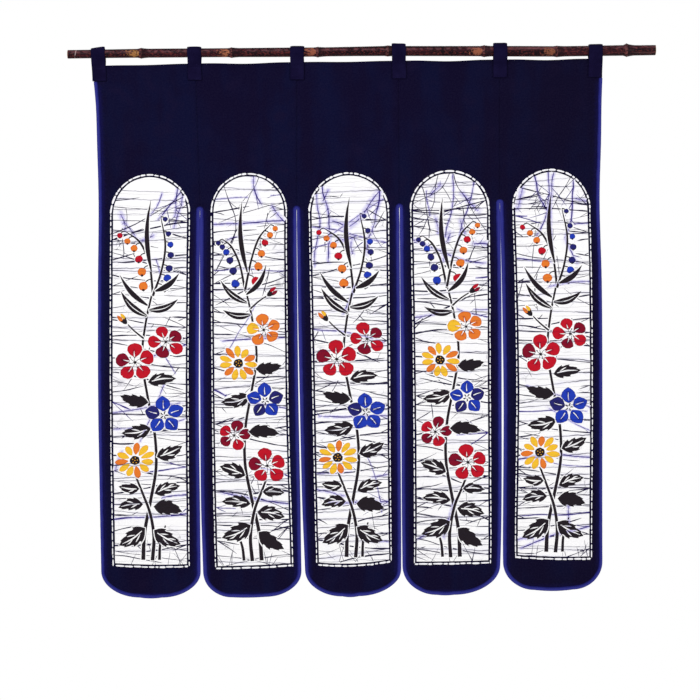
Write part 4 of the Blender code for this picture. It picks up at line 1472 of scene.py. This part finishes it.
def stitchTree(name, material):
    tree = bpy.data.node_groups.new(name, "GeometryNodeTree")
    tree.interface.new_socket("Geometry", in_out="INPUT", socket_type="NodeSocketGeometry")
    for label in ("Length", "Width"):
        tree.interface.new_socket(label, in_out="INPUT", socket_type="NodeSocketFloat")
    tree.interface.new_socket("Seed", in_out="INPUT", socket_type="NodeSocketInt")
    tree.interface.new_socket("Geometry", in_out="OUTPUT", socket_type="NodeSocketGeometry")
    board = Board(tree)
    entry = tree.nodes.new("NodeGroupInput")
    points, length, width, seed = (Wire(board, entry.outputs[i]) for i in range(4))
    bead = board.add("GeometryNodeMeshUVSphere", {}, {"Segments": 5, "Rings": 4, "Radius": 0.5})
    lying = board.add("GeometryNodeTransform", {}, {"Geometry": bead, "Rotation": (0, math.pi / 2, 0)})

    def named(attribute):
        settings = {"data_type": "FLOAT_VECTOR"}
        return board.add("GeometryNodeInputNamedAttribute", settings, {"Name": attribute})
    alongRun = board.add("FunctionNodeAlignRotationToVector", {"axis": "X"}, {"Vector": named("travel")})
    facing = board.add("FunctionNodeAlignRotationToVector", {"axis": "Z", "pivot_axis": "X"},
                       {"Rotation": alongRun, "Vector": named("front")})
    limits = {"Min": 0.86, "Max": 1.1, "Seed": seed}
    luck = board.add("FunctionNodeRandomValue", {"data_type": "FLOAT"}, limits, out=1)
    size = board.place(length * luck, width, width * 0.8)
    placed = board.add("GeometryNodeInstanceOnPoints", {},
                       {"Points": points, "Instance": lying, "Rotation": facing, "Scale": size})
    real = board.add("GeometryNodeRealizeInstances", {}, {"Geometry": placed})
    smooth = board.add("GeometryNodeSetShadeSmooth", {}, {"Geometry": real})
    finished = board.add("GeometryNodeSetMaterial", {}, {"Geometry": smooth, "Material": material})
    leave = tree.nodes.new("NodeGroupOutput")
    tree.links.new(finished.socket, leave.inputs[0])
    return tree


def sewOn(name, points, travel, fronts, material, length, width):
    # one stitch on each point; the modifier's result becomes the piece
    holder = makeMesh(name + "Points", points, [], material, smooth=False)
    for label, values in (("travel", travel), ("front", fronts)):
        giveValues(holder, label, values, kind="FLOAT_VECTOR", field="vector")
    modifier = holder.modifiers.new("stitches", "NODES")
    modifier.node_group = stitchTree(name + "Tree", material)
    inputs = {item.name: item.identifier for item in modifier.node_group.interface.items_tree
              if item.in_out == "INPUT"}
    modifier[inputs["Length"]] = length
    modifier[inputs["Width"]] = width
    modifier[inputs["Seed"]] = sewing["seed"]
    graph = bpy.context.evaluated_depsgraph_get()
    mesh = bpy.data.meshes.new_from_object(holder.evaluated_get(graph), depsgraph=graph)
    mesh.name = name
    piece = addObject(name, mesh)
    holder.modifiers.clear()
    bpy.data.objects.remove(holder, do_unlink=True)
    return piece


def tapeStitches(side, material):
    points, travel, outward, fronts = pathFrames(edgePath)
    lift = curtain["thickness"] / 2 + tape["clear"] + tape["thickness"] + 0.00012
    line = points - outward * (sewing["inset"] - tape["reach"] + 0.0001) + fronts * (side * lift)
    distance = distanceAlong(line)
    marks = np.arange(sewing["pitch"], distance[-1] - sewing["pitch"], sewing["pitch"])
    at, run, face = (np.stack([np.interp(marks, distance, values[:, axis]) for axis in range(3)], axis=1)
                     for values in (line, travel, fronts))
    name = "tapeStitchFront" if side > 0 else "tapeStitchBack"
    return sewOn(name, at, run, face * side, material, sewing["length"], sewing["width"])


def tabStitches(material):
    points, travel, fronts = [], [], []
    for number, place in enumerate(tabs["places"]):
        end = tabs["ends"][number]
        for side in (-1, 1):
            toMiddle = tabs["clothSolid"] / 2 + tabs["clear"] + tabs["solid"] / 2
            y = side * (toMiddle + tabs["thickness"] / 2 + 0.0001)
            for row in sewing["tabRows"]:
                for i in range(sewing["tabCount"]):
                    x = curtain["centreX"] + place + (i - (sewing["tabCount"] - 1) / 2) * sewing["tabPitch"]
                    points.append((x, y, -end + row))
                    travel.append((1, 0, 0))
                    fronts.append((0, side, 0))
    return sewOn("tabStitches", points, travel, fronts, material, sewing["tabLength"], sewing["tabWidth"])


print("stitches: sewing the tape and the tabs")
blueThread = plainCotton("blueThread", *sewing["blue"])
navyThread = plainCotton("navyThread", *sewing["navy"])
stitchPieces = [tapeStitches(1, blueThread), tapeStitches(-1, blueThread), tabStitches(navyThread)]


# Each piece hung from the root; the model's parts that the strips, tabs, tape and rod replace are hidden

for strip, piece in enumerate(clothStrips):
    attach(piece, "root")
    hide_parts(f"panel_{strip + 1}")
for number, (piece, length) in enumerate(tabPieces):
    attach(piece, "root")
    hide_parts(f"tab_{number + 1}")
tapeLength = float(np.sum(np.linalg.norm(np.diff(pathFrames(edgePath)[0], axis=0), axis=1)))
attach(edgeTape, "root")
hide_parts("edge_binding")
2 * tape["width"]
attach(bambooRod, "root")
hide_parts("rod")
for piece, slot in zip(stitchPieces, ("blue_tape", "blue_tape", "navy_cotton")):
    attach(piece, "root")


# Studio

studio = {
    "photoPixels": 700,
    "metresPerPixel": 0.0016915,
    "axisPixel": (363.75, 52.0),  # the rod's middle, once the photo's slant is taken out
    "centrePixel": (349.84, 350.0),
    "slant": 0.45,
    "lens": 110,
    "floorZ": -1.45,
    "floorHalf": (1.4, 0.85),
    "lights": {  # place, turn in degrees, size and power
        "keyLight": ((-1.5, -2.4, 0.9), (60, 0, -32), (1.6, 1.2), 42),
        "fillLight": ((1.8, -2.2, -0.2), (85, 0, 40), (1.4, 1.6), 20),
        "rimLight": ((0.4, 1.8, 0.8), (-62, 0, 10), (1.4, 0.8), 12),
    },
}


def makeCamera():
    data = bpy.data.cameras.new("camera")
    data.lens = studio["lens"]
    across = studio["photoPixels"] * studio["metresPerPixel"]
    distance = across * data.lens / data.sensor_width
    camera = addObject("camera", data)
    x = (studio["centrePixel"][0] - studio["axisPixel"][0]) * studio["metresPerPixel"]
    z = -(studio["centrePixel"][1] - studio["axisPixel"][1]) * studio["metresPerPixel"]
    camera.location = (x, -distance, z)
    camera.rotation_euler = (math.pi / 2, math.radians(studio["slant"]), 0)
    bpy.context.scene.camera = camera


def areaLight(name, place, turn, size, power):
    data = bpy.data.lights.new(name, "AREA")
    data.shape = "RECTANGLE"
    data.size, data.size_y = size
    data.energy = power
    light = addObject(name, data)
    light.location = place
    light.rotation_euler = [math.radians(angle) for angle in turn]


def makeStudio():
    world = bpy.data.worlds.new("studio")
    bpy.context.scene.world = world
    world.use_nodes = True
    board = Board(world.node_tree)
    seen = board.add("ShaderNodeLightPath", out="Is Camera Ray")
    strength = seen * 0.45 + 0.55
    back = world.node_tree.nodes["Background"]
    back.inputs["Color"].default_value = (1, 1, 1, 1)
    board.tree.links.new(strength.socket, back.inputs["Strength"])
    for name, values in studio["lights"].items():
        areaLight(name, *values)
    material, floorBoard, shader, (x, y, _) = startMaterial("paleFloor")
    cloud = floorBoard.noise(x, y, 3.0, 2.0)
    colour = floorBoard.blend(cloud, screen(236, 235, 232), screen(246, 245, 243))
    finishMaterial(floorBoard, shader, colour, cloud, 0.0002, {"Roughness": 0.8})
    wide, deep = studio["floorHalf"]
    corners = ((-wide, -deep), (wide, -deep), (wide, deep), (-wide, deep))
    points = [(x, y, studio["floorZ"]) for x, y in corners]
    floor = makeMesh("floor", points, [(0, 1, 2, 3)], material, smooth=False)
    bpy.context.scene.view_settings.view_transform = "Standard"


print("studio: camera, light and floor")
makeCamera()
makeStudio()
